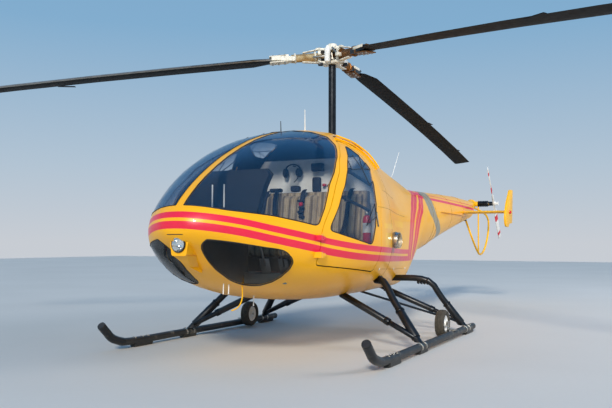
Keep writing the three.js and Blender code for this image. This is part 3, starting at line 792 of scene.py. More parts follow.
def ribbon(name: str, points: Sequence[Sequence[float]], width: float, thick: float,
           side: Sequence[float] = (0, 1, 0)) -> Piece:
    """A flat strap along points.

    Args:
        name: The piece's name.
        points: Its centre line.
        width: Across the strap.
        thick: Its thickness.
        side: The direction of its width.

    Returns:
        The new piece.
    """
    across = Vector(side).normalized() * width
    piece = traced(name, [Vector(point) - across / 2 for point in points])
    with editing(piece):
        bpy.ops.mesh.extrude_region_move(TRANSFORM_OT_translate={"value": across})
    modified(piece, "SOLIDIFY", thickness=thick, offset=0)
    return modified(piece, "SUBSURF", levels=1, render_levels=1)


def copy_of(node: str) -> Piece:
    """A merged copy of a CAD node, ready to be dressed and named so.

    Args:
        node: The CAD node.

    Returns:
        The new piece.
    """
    piece = linked(node + "_dressed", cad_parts[node].data.copy())
    select_only(piece)
    bpy.ops.mesh.customdata_custom_splitnormals_clear()
    with editing(piece):
        bpy.ops.mesh.remove_doubles(threshold=2e-6)
    return piece


def joined(name: str, pieces: Sequence[Piece]) -> Piece:
    """Joins pieces of one finish into one, under a name.

    Args:
        name: The name of the whole.
        pieces: What is joined.

    Returns:
        The whole.
    """
    select_only(*pieces)
    if len(pieces) > 1:
        bpy.ops.object.join()
    whole = bpy.context.object
    whole.name = name
    return whole


def copied(piece: Piece, name: str, change: Matrix) -> Piece:
    """A copy of a piece with its own mesh, placed by a matrix.

    Args:
        piece: The piece to repeat.
        name: The copy's name.
        change: Moves, turns or mirrors it.

    Returns:
        The copy.
    """
    twin = linked(name, piece.data.copy())
    twin.data.transform(change)
    if change.determinant() < 0:
        with editing(twin):
            bpy.ops.mesh.flip_normals()
    return twin


def settled(piece: Piece, surface: Surface | None, body: str = "airframe",
            stands_for: Sequence[str] = (), angle: float = 35.0) -> Piece:
    """Finishes a piece: shading, finish, body and the CAD nodes it stands for.

    Args:
        piece: The piece.
        surface: Its finish, or None when it already has its materials.
        body: The CAD body it rides on.
        stands_for: CAD nodes it replaces.
        angle: Edges sharper than this many degrees stay sharp; zero keeps its own normals.

    Returns:
        The piece.
    """
    applied(piece)
    if angle:
        bpy.ops.object.shade_smooth_by_angle(angle=math.radians(angle))
    if surface:
        paint(piece, surface)
    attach(piece, body)
    if stands_for:
        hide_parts(*stands_for)
    LOG.info("%s rides on %s", piece.name, body)
    return piece


def dressed(node: str, surface: Surface, body: str = "airframe", angle: float = 35.0,
            rim: float = 0.0) -> Piece:
    """A smooth copy of a CAD node in its finish, in place of the node.

    Args:
        node: The CAD node.
        surface: Its finish.
        body: The CAD body it rides on.
        angle: Edges sharper than this stay sharp.
        rim: Width of a bevel on its sharp edges.

    Returns:
        The new piece.
    """
    piece = copy_of(node)
    if rim:
        eased(piece, rim)
    return settled(piece, surface, body, [node], angle)


def spots_of(piece: Piece) -> np.ndarray:
    """The places of a piece's vertices, one row each."""
    return np.array([vertex.co for vertex in piece.data.vertices])


class Form:
    """A smooth body through superellipse sections, measured at any point near its skin."""

    def __init__(self, rows: Sequence[Sequence[float]]) -> None:
        """Interpolates the sections along the body.

        Args:
            rows: Station, top, widest, belly and half width in millimetres, then the upper and
                lower roundness.
        """
        table = np.array(rows) / (1000, 1000, 1000, 1000, 1000, 1, 1)
        spare = np.vstack([2 * table[0] - table[1], table, 2 * table[-1] - table[-2]])
        steps = np.linspace(0, len(table) - 1, 24 * (len(table) - 1) + 1)
        cell = np.minimum(steps.astype(int), len(table) - 2)
        t = (steps - cell)[:, None]
        a, b, c, d = (spare[cell + k] for k in range(4))
        bend = (2 * a - 5 * b + 4 * c - d) * t ** 2 + (3 * b - a - 3 * c + d) * t ** 3
        fine = (2 * b + (c - a) * t + bend) / 2
        self.table = fine[np.argsort(fine[:, 0])]

    def level(self, spots: np.ndarray) -> np.ndarray:
        """How far outside (positive) or inside (negative) points are, in the form's own measure."""
        top, mid, low, half, up, down = (
            np.interp(spots[:, 0], self.table[:, 0], self.table[:, k]) for k in range(1, 7))
        above = spots[:, 2] > mid
        tall = np.where(above, top - mid, mid - low)
        power = np.where(above, up, down)
        return (np.abs(spots[:, 1]) / half) ** power + (np.abs(spots[:, 2] - mid) / tall) ** power - 1

    def normals(self, spots: np.ndarray) -> tuple[np.ndarray, np.ndarray]:
        """Outward directions at points, and their distances from the skin in metres."""
        step = 0.003
        slope = np.stack([self.level(spots + step * e) - self.level(spots - step * e) for e in np.eye(3)], 1)
        slope /= 2 * step
        size = np.maximum(np.linalg.norm(slope, axis=1), 1e-6)
        return slope / size[:, None], self.level(spots) / size

    def measured(self, piece: Piece) -> tuple[np.ndarray, np.ndarray]:
        """How far each face of a piece points outwards, and its distance from the skin."""
        faces = piece.data.polygons
        out, off = self.normals(np.array([face.center for face in faces]) - (MAST_X, 0, 0))
        return (out * np.array([face.normal for face in faces])).sum(1), off

    def outer_faces(self, piece: Piece) -> list[bool]:
        """Which faces of a piece lie on the outside of the skin."""
        facing, off = self.measured(piece)
        return list((facing > 0.8) & (off > -0.005))

    def line_inside(self, piece: Piece, surface: Surface) -> None:
        """Gives a skin piece a second finish on its inner faces."""
        piece.data.materials.append(surface.value.material())
        facing, off = self.measured(piece)
        inner = (facing < -0.3) & (off < -0.004)
        piece.data.polygons.foreach_set("material_index", inner.astype(int))

    def smooth(self, piece: Piece) -> Piece:
        """Shades a piece of the skin by the form's own normals, and leaves cut edges flat."""
        select_only(piece)
        bpy.ops.object.shade_smooth_by_angle(angle=math.radians(32))
        mesh = piece.data
        corner = np.array([loop.vertex_index for loop in mesh.loops])
        flat = np.array([face.normal for face in mesh.polygons for _ in face.loop_indices])
        out, off = self.normals(spots_of(piece) - (MAST_X, 0, 0))
        along = (out[corner] * flat).sum(1)
        near = np.abs(off[corner]) < 0.013
        wanted = np.where(near[:, None], flat, 0.0)
        wanted = np.where((near & (along > 0.8))[:, None], out[corner], wanted)
        wanted = np.where((near & (along < -0.8))[:, None], -out[corner], wanted)
        mesh.normals_split_custom_set(wanted.tolist())
        return piece


BODY_FORM = Form([
    (2645, 1050, 1040, 1030, 12, 2, 2), (2628, 1110, 1035, 968, 112, 2, 2),
    (2570, 1182, 1025, 908, 218, 2, 2), (2470, 1277, 1010, 840, 342, 1.9, 2.1),
    (2300, 1405, 985, 712, 486, 1.95, 2.25), (2000, 1583, 960, 572, 650, 2.15, 2.35),
    (1600, 1758, 950, 474, 782, 2.28, 2.35), (1200, 1874, 940, 430, 858, 2.35, 2.3),
    (800, 1946, 940, 412, 868, 2.27, 2.3), (400, 1974, 940, 412, 785, 2.2, 2.5),
    (0, 1950, 940, 415, 680, 2.05, 2.9), (-500, 1868, 950, 425, 550, 2.05, 3.4),
    (-1000, 1785, 1000, 436, 445, 2, 4.6), (-1500, 1705, 1050, 458, 366, 2, 2.8),
    (-1800, 1640, 1120, 640, 350, 2, 2.3), (-1950, 1600, 1180, 760, 350, 2, 2)])
CONE_FORM = Form([
    (-1940, 1600, 1180, 760, 350, 2, 2), (-2400, 1597, 1204, 811, 330, 2, 2),
    (-3400, 1620, 1312, 1004, 265, 2, 2), (-4400, 1635, 1404, 1173, 205, 2, 2),
    (-5300, 1619, 1467, 1315, 142, 2, 2)])


class Skin:
    """The outer skin as built, for placing things on it by station and height."""

    NODES = ("cabin_body", "rear_body", "tail_cone", "door_left", "door_right", "windshield_left",
             "windshield_right", "door_glass_left", "door_glass_right", "skylight_left", "skylight_right")

    def __init__(self) -> None:
        """Gathers the CAD skins into one search tree."""
        spots: list[Vector] = []
        faces: list[tuple[int, ...]] = []
        for name in self.NODES:
            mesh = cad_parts[name].data
            faces += [tuple(i + len(spots) for i in face.vertices) for face in mesh.polygons]
            spots += [v.co.copy() for v in mesh.vertices]
        self.tree = BVHTree.FromPolygons(spots, faces)

    def side(self, station: float, height: float, side: int = 1) -> tuple[Vector, Vector]:
        """Where a level line from the side meets the skin, and the skin's direction there."""
        for shift in (0, 0.012, -0.012):
            start = at(station + shift, side * 1.6, height)
            spot, normal, *_ = self.tree.ray_cast(start, Vector((0, -side, 0)))
            if spot and spot.y * side > 0:
                break
        return spot, normal if normal.y * side > 0 else -normal

    def front(self, port: float, height: float) -> Vector:
        """Where a level line from ahead meets the nose."""
        return self.tree.ray_cast(at(3.2, port, height), Vector((-1, 0, 0)))[0]

    def top(self, station: float, port: float) -> tuple[Vector, Vector]:
        """Where a plumb line from above meets the skin, and the skin's direction there."""
        spot, normal, *_ = self.tree.ray_cast(at(station, port, 2.4), Vector((0, 0, -1)))
        return spot, normal if normal.z > 0 else -normal

    def along(self, line: Sequence[tuple[float, float]], side: int = 1, step: float = 0.04) -> list[Vector]:
        """Points on the skin along a side view line of stations and heights."""
        spots = []
        for (x0, z0), (x1, z1) in zip(line, line[1:]):
            count = max(2, round(math.hypot(x1 - x0, z1 - z0) / step))
            spots += [self.side(x0 + (x1 - x0) * k / count, z0 + (z1 - z0) * k / count, side)[0]
                      for k in range(count)]
        return spots + [self.side(*line[-1], side)[0]]


def rim_of(pane: Piece, form: Form, name: str, radius: float) -> Piece:
    """A seal round the outer rim of a skin piece.

    Args:
        pane: The skin piece.
        form: The form that it lies on.
        name: The seal's name.
        radius: Half its thickness.

    Returns:
        The seal.
    """
    seen: dict[tuple[int, int], int] = {}
    for face, outside in zip(pane.data.polygons, form.outer_faces(pane)):
        if outside:
            for key in face.edge_keys:
                seen[key] = seen.get(key, 0) + 1
    rims = [key for key, count in seen.items() if count == 1]
    used = sorted({i for key in rims for i in key})
    order = {old: new for new, old in enumerate(used)}
    spots = [pane.data.vertices[i].co for i in used]
    select_only(meshed(name, spots, [(order[a], order[b]) for a, b in rims], []))
    bpy.ops.object.convert(target="CURVE")
    seal = bpy.context.object
    seal.data.bevel_depth = radius
    seal.data.bevel_resolution = 2
    bpy.ops.object.convert(target="MESH")
    return bpy.context.object


def studs(name: str, spots: Sequence[tuple[Vector, Vector]], radius: float,
          height: float | None = None) -> Piece:
    """Fastener heads, modelled once and copied to their places.

    Args:
        name: The name of the set.
        spots: Where each one sits and which way it points.
        radius: A head's radius.
        height: How far it stands up, or None for 0.45 of the radius.

    Returns:
        The set as one piece.
    """
    tall = height or radius * 0.45
    head = turned(name, [(0, -tall), (radius, -tall), (radius, tall * 0.35), (radius * 0.72, tall * 0.85),
                         (0, tall)], (0, 0, 0), steps=10)
    heads = [copied(head, name, Matrix.Translation(spot) @ towards(normal)) for spot, normal in spots]
    bpy.data.objects.remove(head)
    return joined(name, heads)


@dataclass(frozen=True)
class Shell:
    """The painted body, its doors, windows and tail cone.

    Lines are stations and heights in metres, and the gutter's are stations and metres from the middle.
    `seal` and `seam` are half their thickness.
    """

    skin: Skin
    seal: float = 0.0042
    seam: float = 0.0016
    handle: Pair = (0.977, 1.117)
    bars: tuple[tuple[Pair, Pair], ...] = (
        ((1.489, 1.296), (1.085, 1.195)), ((1.269, 1.546), (0.904, 1.421)))
    bar_inset: float = 0.030
    bar_overrun: float = 0.07
    knob_share: float = 0.68
    panels: tuple[Line, ...] = (
        ((0.92, 1.225), (0.4, 1.222), (-0.3, 1.212), (-0.95, 1.205)),
        ((0.62, 1.385), (0.2, 1.375), (-0.27, 1.362)),
        ((0.78, 0.692), (0.3, 0.676), (-0.105, 0.661), (-0.6, 0.650), (-1.0, 0.640)),
        ((0.39, 1.88), (0.39, 1.5), (0.39, 1.0), (0.39, 0.55)))
    fastener_rows: tuple[float, ...] = (1.247, 1.188, 0.655)
    fastener_start: float = 0.38
    fastener_pitch: float = 0.055
    fastener_count: int = 26
    gutter: Line = (
        (0.90, 0.435), (0.86, 0.462), (0.80, 0.490), (0.72, 0.518), (0.64, 0.543), (0.57, 0.562),
        (0.51, 0.583), (0.46, 0.610), (0.42, 0.640))
    gutter_lifts: tuple[float, ...] = (0.006, 0.028)
    slot: float = 0.973
    slot_half: float = 0.066
    latches: Line = ((0.745, 0.690), (-0.105, 0.661), (-0.95, 0.641))
    cone_joints: tuple[float, ...] = (-2.44, -2.62, -3.55, -4.38)

    PAINTED = {"cabin_body": "airframe", "rear_body": "airframe", "door_left": "left_door",
               "door_right": "right_door"}
    PANES = {"windshield_left": "airframe", "windshield_right": "airframe", "chin_window_left": "airframe",
             "chin_window_right": "airframe", "skylight_left": "airframe", "skylight_right": "airframe",
             "door_glass_left": "left_door", "door_glass_right": "right_door"}

    def build(self) -> None:
        """Dresses the skins and adds what sits on them."""
        for node, body in self.PAINTED.items():
            piece = BODY_FORM.smooth(copy_of(node))
            settled(piece, Surface.BODY, body, [node], 0)
            BODY_FORM.line_inside(piece, Surface.HEADLINER)
        cone = CONE_FORM.smooth(copy_of("tail_cone"))
        settled(cone, Surface.BODY, "airframe", ["tail_cone"], 0)
        for node, body in self.PANES.items():
            self.pane(node, body)
        self.seams()
        self.trim()
        for name, side in SIDES.items():
            self.lever(name, side)
            self.door_bars(name, side)

    def pane(self, node: str, body: str) -> None:
        """One window and its seal."""
        piece = BODY_FORM.smooth(copy_of(node))
        seal = rim_of(piece, BODY_FORM, node + "_seal", self.seal)
        # The chin windows take a near-black glass that paints the shade of the cabin behind them.
        tint = Surface.SHADED_CHIN_GLASS if node.startswith("chin") else Surface.GLASS
        settled(piece, tint, body, [node], 0)
        settled(seal, Surface.SEAL, body)

    def seams(self) -> None:
        """The joints of the panels and of the tail cone, and the rows of fasteners."""
        lines = [pipe(f"seam_{side}_{number}", self.skin.along(line, side), self.seam, 1, smooth=False)
                 for side in SIDES.values() for number, line in enumerate(self.panels)]
        settled(joined("panel_joints", lines), Surface.SEAM)
        rings = [self.cone_ring(number, station) for number, station in enumerate(self.cone_joints)]
        settled(joined("cone_joints", rings), Surface.SEAM)
        spots = [self.skin.side(self.fastener_start - k * self.fastener_pitch, height, side)
                 for side in SIDES.values() for height in self.fastener_rows
                 for k in range(self.fastener_count)]
        settled(studs("panel_fasteners", spots, 0.0045, 0.0012), Surface.YELLOW)

    def trim(self) -> None:
        """The slot over the lamp, the cowl's latches and the gutters beside the roof lights."""
        line = [self.skin.front(port, self.slot) for port in np.linspace(-self.slot_half, self.slot_half, 9)]
        settled(pipe("lamp_slot", line, 0.003, 1, smooth=False), Surface.SEAL)
        latches = [self.skin.side(*spot, side) for side in SIDES.values() for spot in self.latches]
        settled(studs("cowl_latches", latches, 0.014, 0.004), Surface.WHITE)
        gutters = [pipe(f"gutter_{side}_{lift}", self.rail(side, lift), 0.009, 3)
                   for side in SIDES.values() for lift in self.gutter_lifts]
        settled(joined("roof_gutters", gutters), Surface.YELLOW)

    def rail(self, side: int, lift: float) -> list[Vector]:
        """The line of a gutter beside the skylight, a height above the skin."""
        hits = [self.skin.top(station, port * side) for station, port in self.gutter]
        return [spot + normal * lift for spot, normal in hits]

    def cone_ring(self, number: int, station: float) -> Piece:
        """A joint round the tail cone."""
        top, mid, half = (float(np.interp(station, CONE_FORM.table[:, 0], CONE_FORM.table[:, k]))
                          for k in (1, 2, 4))
        spots = [at(station, half * math.cos(a), mid + (top - mid) * math.sin(a))
                 for a in np.linspace(0, math.tau, 48, endpoint=False)]
        return pipe(f"cone_joint_{number}", spots, self.seam * 0.8, 1, closed=True, smooth=False)

    def lever(self, name: str, side: int) -> None:
        """The plate and lever of one door's handle, flat on the skin."""
        spot, normal = self.skin.side(*self.handle, side)
        up = Vector((0, 0, 1)) - normal * normal.z
        turn = Matrix((up.cross(normal).normalized(), up.normalized(), normal)).transposed().to_4x4()
        plate = block(f"handle_plate_{name}", (-0.016, -0.064, -0.002), (0.016, 0.064, 0.003), 0.008, 3)
        lever = block(f"handle_{name}", (-0.006, -0.050, 0.002), (0.006, 0.050, 0.006), 0.002, 3)
        for piece, surface in ((plate, Surface.BLACK), (lever, Surface.STEEL)):
            piece.data.transform(Matrix.Translation(spot) @ turn)
            settled(piece, surface, f"{name}_door")

    def door_bars(self, name: str, side: int) -> None:
        """The bars across the inside of one door's window, each with its knob."""
        inset = Vector((0, side * self.bar_inset, 0))
        bars = []
        for k, (first, last) in enumerate(self.bars):
            over = (Vector(first) - Vector(last)) * self.bar_overrun
            nose, tail = (self.skin.side(*end, side)[0] - inset
                          for end in (Vector(first) + over, Vector(last) - over))
            knob = tail.lerp(nose, self.knob_share)
            bars += [pipe(f"door_bar_{name}_{k}", [nose, tail], 0.013, 3, smooth=False),
                     pipe(f"door_knob_{name}_{k}", [knob + Vector((0, 0, drop)) for drop in (-0.018, 0.03)],
                          0.019, 3, smooth=False)]
        settled(joined(f"door_bars_{name}", bars), Surface.BLACK, f"{name}_door")


def puffed(piece: Piece, cap: float, voxel: float = 0.011) -> Piece:
    """Swells a closed shape into an upholstered pad by cloth simulation.

    Args:
        piece: The starting shape, a little smaller than the pad.
        cap: The most that any point may move.
        voxel: The mesh spacing.

    Returns:
        The pad.
    """
    modified(piece, "REMESH", mode="VOXEL", voxel_size=voxel)
    before = spots_of(piece)
    cloth = piece.modifiers.new("Cloth", "CLOTH")
    cloth.settings.use_pressure = True
    cloth.settings.uniform_pressure_force = 4
    cloth.settings.effector_weights.gravity = 0
    for number in range(1, 21):
        bpy.context.scene.frame_set(number)
    select_only(piece)
    bpy.ops.object.modifier_apply(modifier="Cloth")
    bpy.context.scene.frame_set(1)
    move = spots_of(piece) - before
    size = np.maximum(np.linalg.norm(move, axis=1), 1e-9)
    move *= np.minimum(1, cap / size)[:, None]
    piece.data.vertices.foreach_set("co", (before + move).ravel())
    piece.data.update()
    modified(piece, "SMOOTH", factor=0.5, iterations=2)
    return modified(piece, "SUBSURF", levels=1, render_levels=1)


@dataclass(frozen=True)
class Cabin:
    """The bench with its three places, the console, the controls and the linings.

    Spots are stations, metres to port and heights, outlines are stations and heights, and the lines of
    turned pieces are radii and heights.
    """

    places: tuple[float, ...] = (-0.44, 0.0, 0.44)
    half: float = 0.205
    cushion: tuple[Pair, Pair] = ((0.874, 0.808), (1.306, 0.910))
    back: Line = ((0.755, 0.94), (0.812, 0.94), (0.741, 1.37), (0.672, 1.37))
    shell: Line = (
        (0.602, 0.802), (0.846, 0.802), (0.846, 0.85), (0.755, 0.95), (0.684, 1.385), (0.602, 1.385))
    shell_half: float = 0.655
    channel: float = 0.44 / 6
    groove: float = 0.006
    groove_half: float = 0.006
    strap: float = 0.046
    strap_ports: tuple[tuple[float, ...], ...] = ((-0.52, -0.335), (-0.235,), (0.52,))
    buckle: Line = ((0, 0), (0.027, 0), (0.03, 0.004), (0.03, 0.012), (0.022, 0.017), (0, 0.018))
    belt: tuple[Spot, ...] = (
        (0.70, 0.06, 1.412), (0.77, 0.06, 1.395), (0.798, 0.062, 1.30), (0.812, 0.055, 1.20),
        (0.818, 0.066, 1.13))
    belt_folds: tuple[float, ...] = (1.285, 1.225, 1.185, 1.14)
    cup: Line = ((0, 0), (0.036, 0.001), (0.046, 0.012), (0.044, 0.032), (0.032, 0.042), (0, 0.044))
    slim: float = 0.10
    slim_behind: float = 1.80
    panel_face: float = 1.788
    gauge: float = 0.040
    gauge_start: float = -0.33
    gauge_pitch: float = 0.112
    gauge_rows: tuple[float, ...] = (1.385, 1.265, 1.150)
    row_shift: float = 0.03
    panel_edge: Line = (
        (-0.436, 1.03), (-0.437, 1.32), (-0.2, 1.474), (0.325, 1.476), (0.364, 1.44), (0.315, 1.343),
        (0.258, 1.156), (0.215, 1.02))
    sticks: tuple[tuple[str, float], ...] = (("left", 0.39), ("right", -0.42))
    stick_grip: Line = (
        (0, -0.002), (0.017, 0), (0.02, 0.02), (0.0175, 0.05), (0.021, 0.085), (0.019, 0.105), (0, 0.112))
    bottle: tuple[tuple[str, Surface, int, Line], ...] = (
        ("extinguisher", Surface.RED, 32, (
            (0, 0.90), (0.030, 0.90), (0.036, 0.91), (0.036, 1.12), (0.029, 1.145), (0.013, 1.158),
            (0, 1.159))),
        ("extinguisher_head", Surface.STEEL, 20, (
            (0, 1.157), (0.012, 1.157), (0.015, 1.172), (0.010, 1.186), (0.018, 1.190), (0.018, 1.202),
            (0, 1.204))),
        ("extinguisher_band", Surface.WHITE, 32, (
            (0.0361, 1.005), (0.0367, 1.007), (0.0367, 1.086), (0.0361, 1.088))))
    bottle_spot: Spot = (0.845, 0.715, 0)
    hooks: tuple[Pair, ...] = ((-0.2, 1.66), (0.07, 1.64))
    stowed: tuple[Box, ...] = (
        ("hung_unit", (0.455, 0.012, 1.595), (0.52, 0.132, 1.672), 0.012, 3),
        ("hung_pouch", (0.43, 0.0, 1.40), (0.475, 0.088, 1.545), 0.02, 3),
        ("rolled_cover", (0.60, -0.365, 1.392), (0.66, -0.235, 1.432), 0.018, 3),
        ("small_case", (0.60, -0.132, 1.392), (0.67, -0.042, 1.452), 0.02, 3),
        ("clip", (0.43, 0.16, 1.44), (0.47, 0.225, 1.47), 0.01, 3))

    def build(self) -> None:
        """Builds everything inside the cabin."""
        for node, surface, slot in (
                ("cabin_floor", Surface.MAT, "floor"), ("bulkhead", Surface.BULKHEAD, "lining"),
                ("engine_deck", Surface.ALLOY, "deck_metal"), ("engine", Surface.STEEL, "engine_block"),
                ("main_gearbox", Surface.ALLOY, "engine_block"),
                ("seat_base", Surface.PLASTIC, "seat_frame")):
            dressed(node, surface, rim=0.004 if node == "engine" else 0.0)
        self.cushions()
        self.backs()
        for number, ports in enumerate(self.strap_ports):
            self.harness(number, ports)
        self.spare_buckle()
        self.headset(0, -0.2)
        self.console()
        self.gauges()
        for name, port in self.sticks:
            self.controls(name, port)
        self.tray()
        self.fittings()

    def channels(self, piece: Piece, place: float, axis: Vector) -> None:
        """Sinks sewn grooves into the faces of a pad that point along an axis."""
        for vertex in piece.data.vertices:
            facing = vertex.normal.dot(axis)
            if facing > 0.3:
                off = (vertex.co.y - place + self.channel / 2) % self.channel - self.channel / 2
                depth = self.groove * math.exp(-(off / self.groove_half) ** 2) * min(1, (facing - 0.3) * 3)
                vertex.co -= axis * depth

    def cushions(self) -> None:
        """Three seat cushions, blown up once and copied."""
        (aft, low), (fore, high) = self.cushion
        start = block("cushion", at(aft, -self.half, low), at(fore, self.half, high), 0.02, 3)
        self.set_out(puffed(start, 0.022), Vector((0, 0, 1)), "seat_cushion")

    def backs(self) -> None:
        """Three back cushions on a trimmed shell."""
        start = prism("back", [(MAST_X + x, z) for x, z in self.back], -self.half, self.half)
        self.set_out(puffed(eased(start, 0.02, 3), 0.024), Vector((0.98, 0, 0.16)), "seat_back")
        shell = drawn_out("seat_back_shell", [at(x, -self.shell_half, z) for x, z in self.shell],
                          (0, 2 * self.shell_half, 0))
        settled(eased(shell, 0.018, 3), Surface.CLOTH, "airframe", ["seat_back"])

    def set_out(self, pad: Piece, axis: Vector, node: str) -> None:
        """Copies a pad to the three places and sinks its channels.

        Args:
            pad: The pad, at the middle of the bench.
            axis: The way that its sewn face points.
            node: The CAD node that it stands for.
        """
        for number, place in enumerate(self.places):
            piece = copied(pad, f"{node}_{number}", Matrix.Translation((0, place, 0)))
            self.channels(piece, place, axis)
            settled(piece, Surface.CLOTH, "airframe", [node], 60)
        bpy.data.objects.remove(pad)

    def harness(self, number: int, ports: Sequence[float]) -> None:
        """Shoulder straps at the ports given, two lap straps and a buckle."""
        place = self.places[number]
        straps = []
        for k, port in enumerate(ports):
            inward = (place - port) * 0.25
            straps.append(ribbon(f"shoulder_{number}_{k}", [
                at(0.64, port, 1.405), at(0.72, port, 1.412), at(0.778, port, 1.34),
                at(0.818, port + inward * 0.3, 1.16), at(0.865, port + inward, 0.99), at(0.93, place, 0.957)],
                self.strap, 0.002))
        for side in (-1, 1):
            straps.append(ribbon(f"lap_{number}_{side}", [
                at(0.865, place + side * 0.205, 0.90), at(0.89, place + side * 0.17, 0.945),
                at(0.93, place + side * 0.10, 0.953), at(0.95, place + side * 0.02, 0.957)],
                self.strap, 0.002, (1, 0, 0.2)))
        settled(joined(f"harness_{number}", straps), Surface.WEBBING)
        buckle = turned(f"buckle_{number}", self.buckle, at(0.94, place, 0.952), (0.25, 0, 1))
        settled(buckle, Surface.RED)

    def spare_buckle(self) -> None:
        """A belt that hangs over the bench, with its red buckle and folded webbing."""
        belt = ribbon("spare_belt", [at(*spot) for spot in self.belt], 0.05, 0.006)
        folds = [block(f"fold_{k}", at(0.805, 0.028 + 0.012 * (k % 2), z),
                       at(0.835, 0.088 + 0.008 * (k % 2), z + 0.024), 0.008)
                 for k, z in enumerate(self.belt_folds)]
        settled(joined("spare_webbing", [belt, *folds]), Surface.WEBBING)
        tab = block("spare_buckle", at(0.80, 0.045, 1.248), at(0.838, 0.080, 1.283), 0.01, 3)
        settled(tab, Surface.RED)

    def headset(self, number: int, place: float) -> None:
        """A headset hung on its hook on the bulkhead."""
        pieces = [turned(f"cup_{number}_{side}", self.cup, at(0.485, place + side * 0.052, 1.59),
                         (0.1, side, 0)) for side in (-1, 1)]
        arch = [at(0.475, place + 0.088 * math.cos(a), 1.60 + 0.075 * math.sin(a))
                for a in np.linspace(0, math.pi, 15)]
        boom = [at(0.49, place + 0.09, 1.585), at(0.50, place + 0.05, 1.52), at(0.49, place + 0.02, 1.50)]
        pieces.append(ribbon(f"headband_{number}", arch, 0.030, 0.012, (1, 0, 0)))
        pieces.append(pipe(f"boom_{number}", boom, 0.004))
        settled(joined(f"headset_{number}", pieces), Surface.PLASTIC)

    def console(self) -> None:
        """The tall panel on its pedestal, slimmer than its solid, with two tubes and a rubber edge."""
        piece = copy_of("console")
        for corner in piece.data.vertices:
            if corner.co.x < at(self.slim_behind, 0, 0).x:
                corner.co.x += self.slim
        settled(eased(piece, 0.010, 3), Surface.PLASTIC, "airframe", ["console"])
        tubes = [rod(f"panel_tube_{k}", at(1.956, y, 1.19), at(1.956, y, 1.37), 0.006)
                 for k, y in enumerate((-0.138, -0.03))]
        settled(joined("panel_tubes", tubes), Surface.WHITE)
        edge = [at(self.panel_face + 0.002 + self.slim, y, z) for y, z in self.panel_edge]
        settled(pipe("panel_rim", edge, 0.009, 4, smooth=False), Surface.RUBBER)

    def gauges(self) -> None:
        """Plain gauges and switches on the crew's side of the panel."""
        radius = self.gauge
        bezel = [(radius - 0.004, 0), (radius + 0.005, 0), (radius + 0.005, 0.005), (radius, 0.008),
                 (radius - 0.004, 0.006)]
        dial = [(0, 0.001), (radius - 0.006, 0.001), (radius - 0.003, 0.003), (radius - 0.003, 0)]
        rings, dials = [], []
        for row, height in enumerate(self.gauge_rows):
            for column in range(6 - row):
                port = self.gauge_start + column * self.gauge_pitch + row * self.row_shift
                spot = at(self.panel_face + self.slim, port, height)
                rings.append(turned(f"bezel_{row}_{column}", bezel, spot, (-1, 0, 0), 28))
                dials.append(turned(f"dial_{row}_{column}", dial, spot, (-1, 0, 0), 28))
        settled(joined("gauge_rims", rings), Surface.ALLOY)
        settled(joined("gauge_faces", dials), Surface.DIAL)
        caps = [(at(self.panel_face - 0.002 + self.slim, -0.19 + column * 0.042, 1.055), Vector((-1, 0, 0)))
                for column in range(9)]
        settled(studs("panel_switches", caps, 0.009, 0.012), Surface.WHITE)

    def controls(self, name: str, port: float) -> None:
        """A stick with its moulded grip, and a pair of pedals."""
        dressed(f"stick_{name}", Surface.BLACK)
        grip = turned(f"stick_grip_{name}", self.stick_grip, at(1.468, port, 0.862), (-0.32, 0, 1))
        settled(grip, Surface.RUBBER)
        for number, offset in enumerate((-0.08, 0.08)):
            pad = block(f"pedal_{name}_{number}", (-0.005, -0.042, -0.06), (0.005, 0.042, 0.06), 0.004)
            arm = rod(f"pedal_arm_{name}_{number}", (0.004, 0, 0), (0.02, 0, 0.17), 0.009)
            pedal = joined(f"pedal_{name}_{number}", [pad, arm])
            place = Matrix.Translation(at(1.90, port + offset, 0.74))
            pedal.data.transform(place @ Matrix.Rotation(0.35, 4, "Y"))
            settled(pedal, Surface.ALLOY)

    def tray(self) -> None:
        """A tray on the floor ahead of the port seat, with its strap."""
        tray = block("floor_tray", at(1.73, 0.09, 0.605), at(1.88, 0.47, 0.690), 0.01, 3)
        settled(tray, Surface.TRAY)
        strap = ribbon("tray_strap", [at(1.872, y, 0.694 + lift) for y, lift in (
            (0.20, 0.0), (0.27, 0.004), (0.36, 0.001), (0.46, 0.0))], 0.03, 0.004, (1, 0, 0))
        settled(strap, Surface.RED)

    def fittings(self) -> None:
        """The extinguisher beside the port seat, and what hangs on the bulkhead."""
        for name, surface, steps, line in self.bottle:
            settled(turned(name, line, at(*self.bottle_spot), steps=steps), surface)
        hooks = [rod(f"hook_{k}", at(0.418, y, z), at(0.47, y, z), 0.006)
                 for k, (y, z) in enumerate(self.hooks)]
        items = [*hooks, *blocks(self.stowed, at(0, 0, 0))]
        settled(joined("stowed_items", items), Surface.WEBBING)
        tab = block("red_tab", at(0.43, 0.11, 1.452), at(0.475, 0.14, 1.478), 0.008, 3)
        settled(tab, Surface.RED)


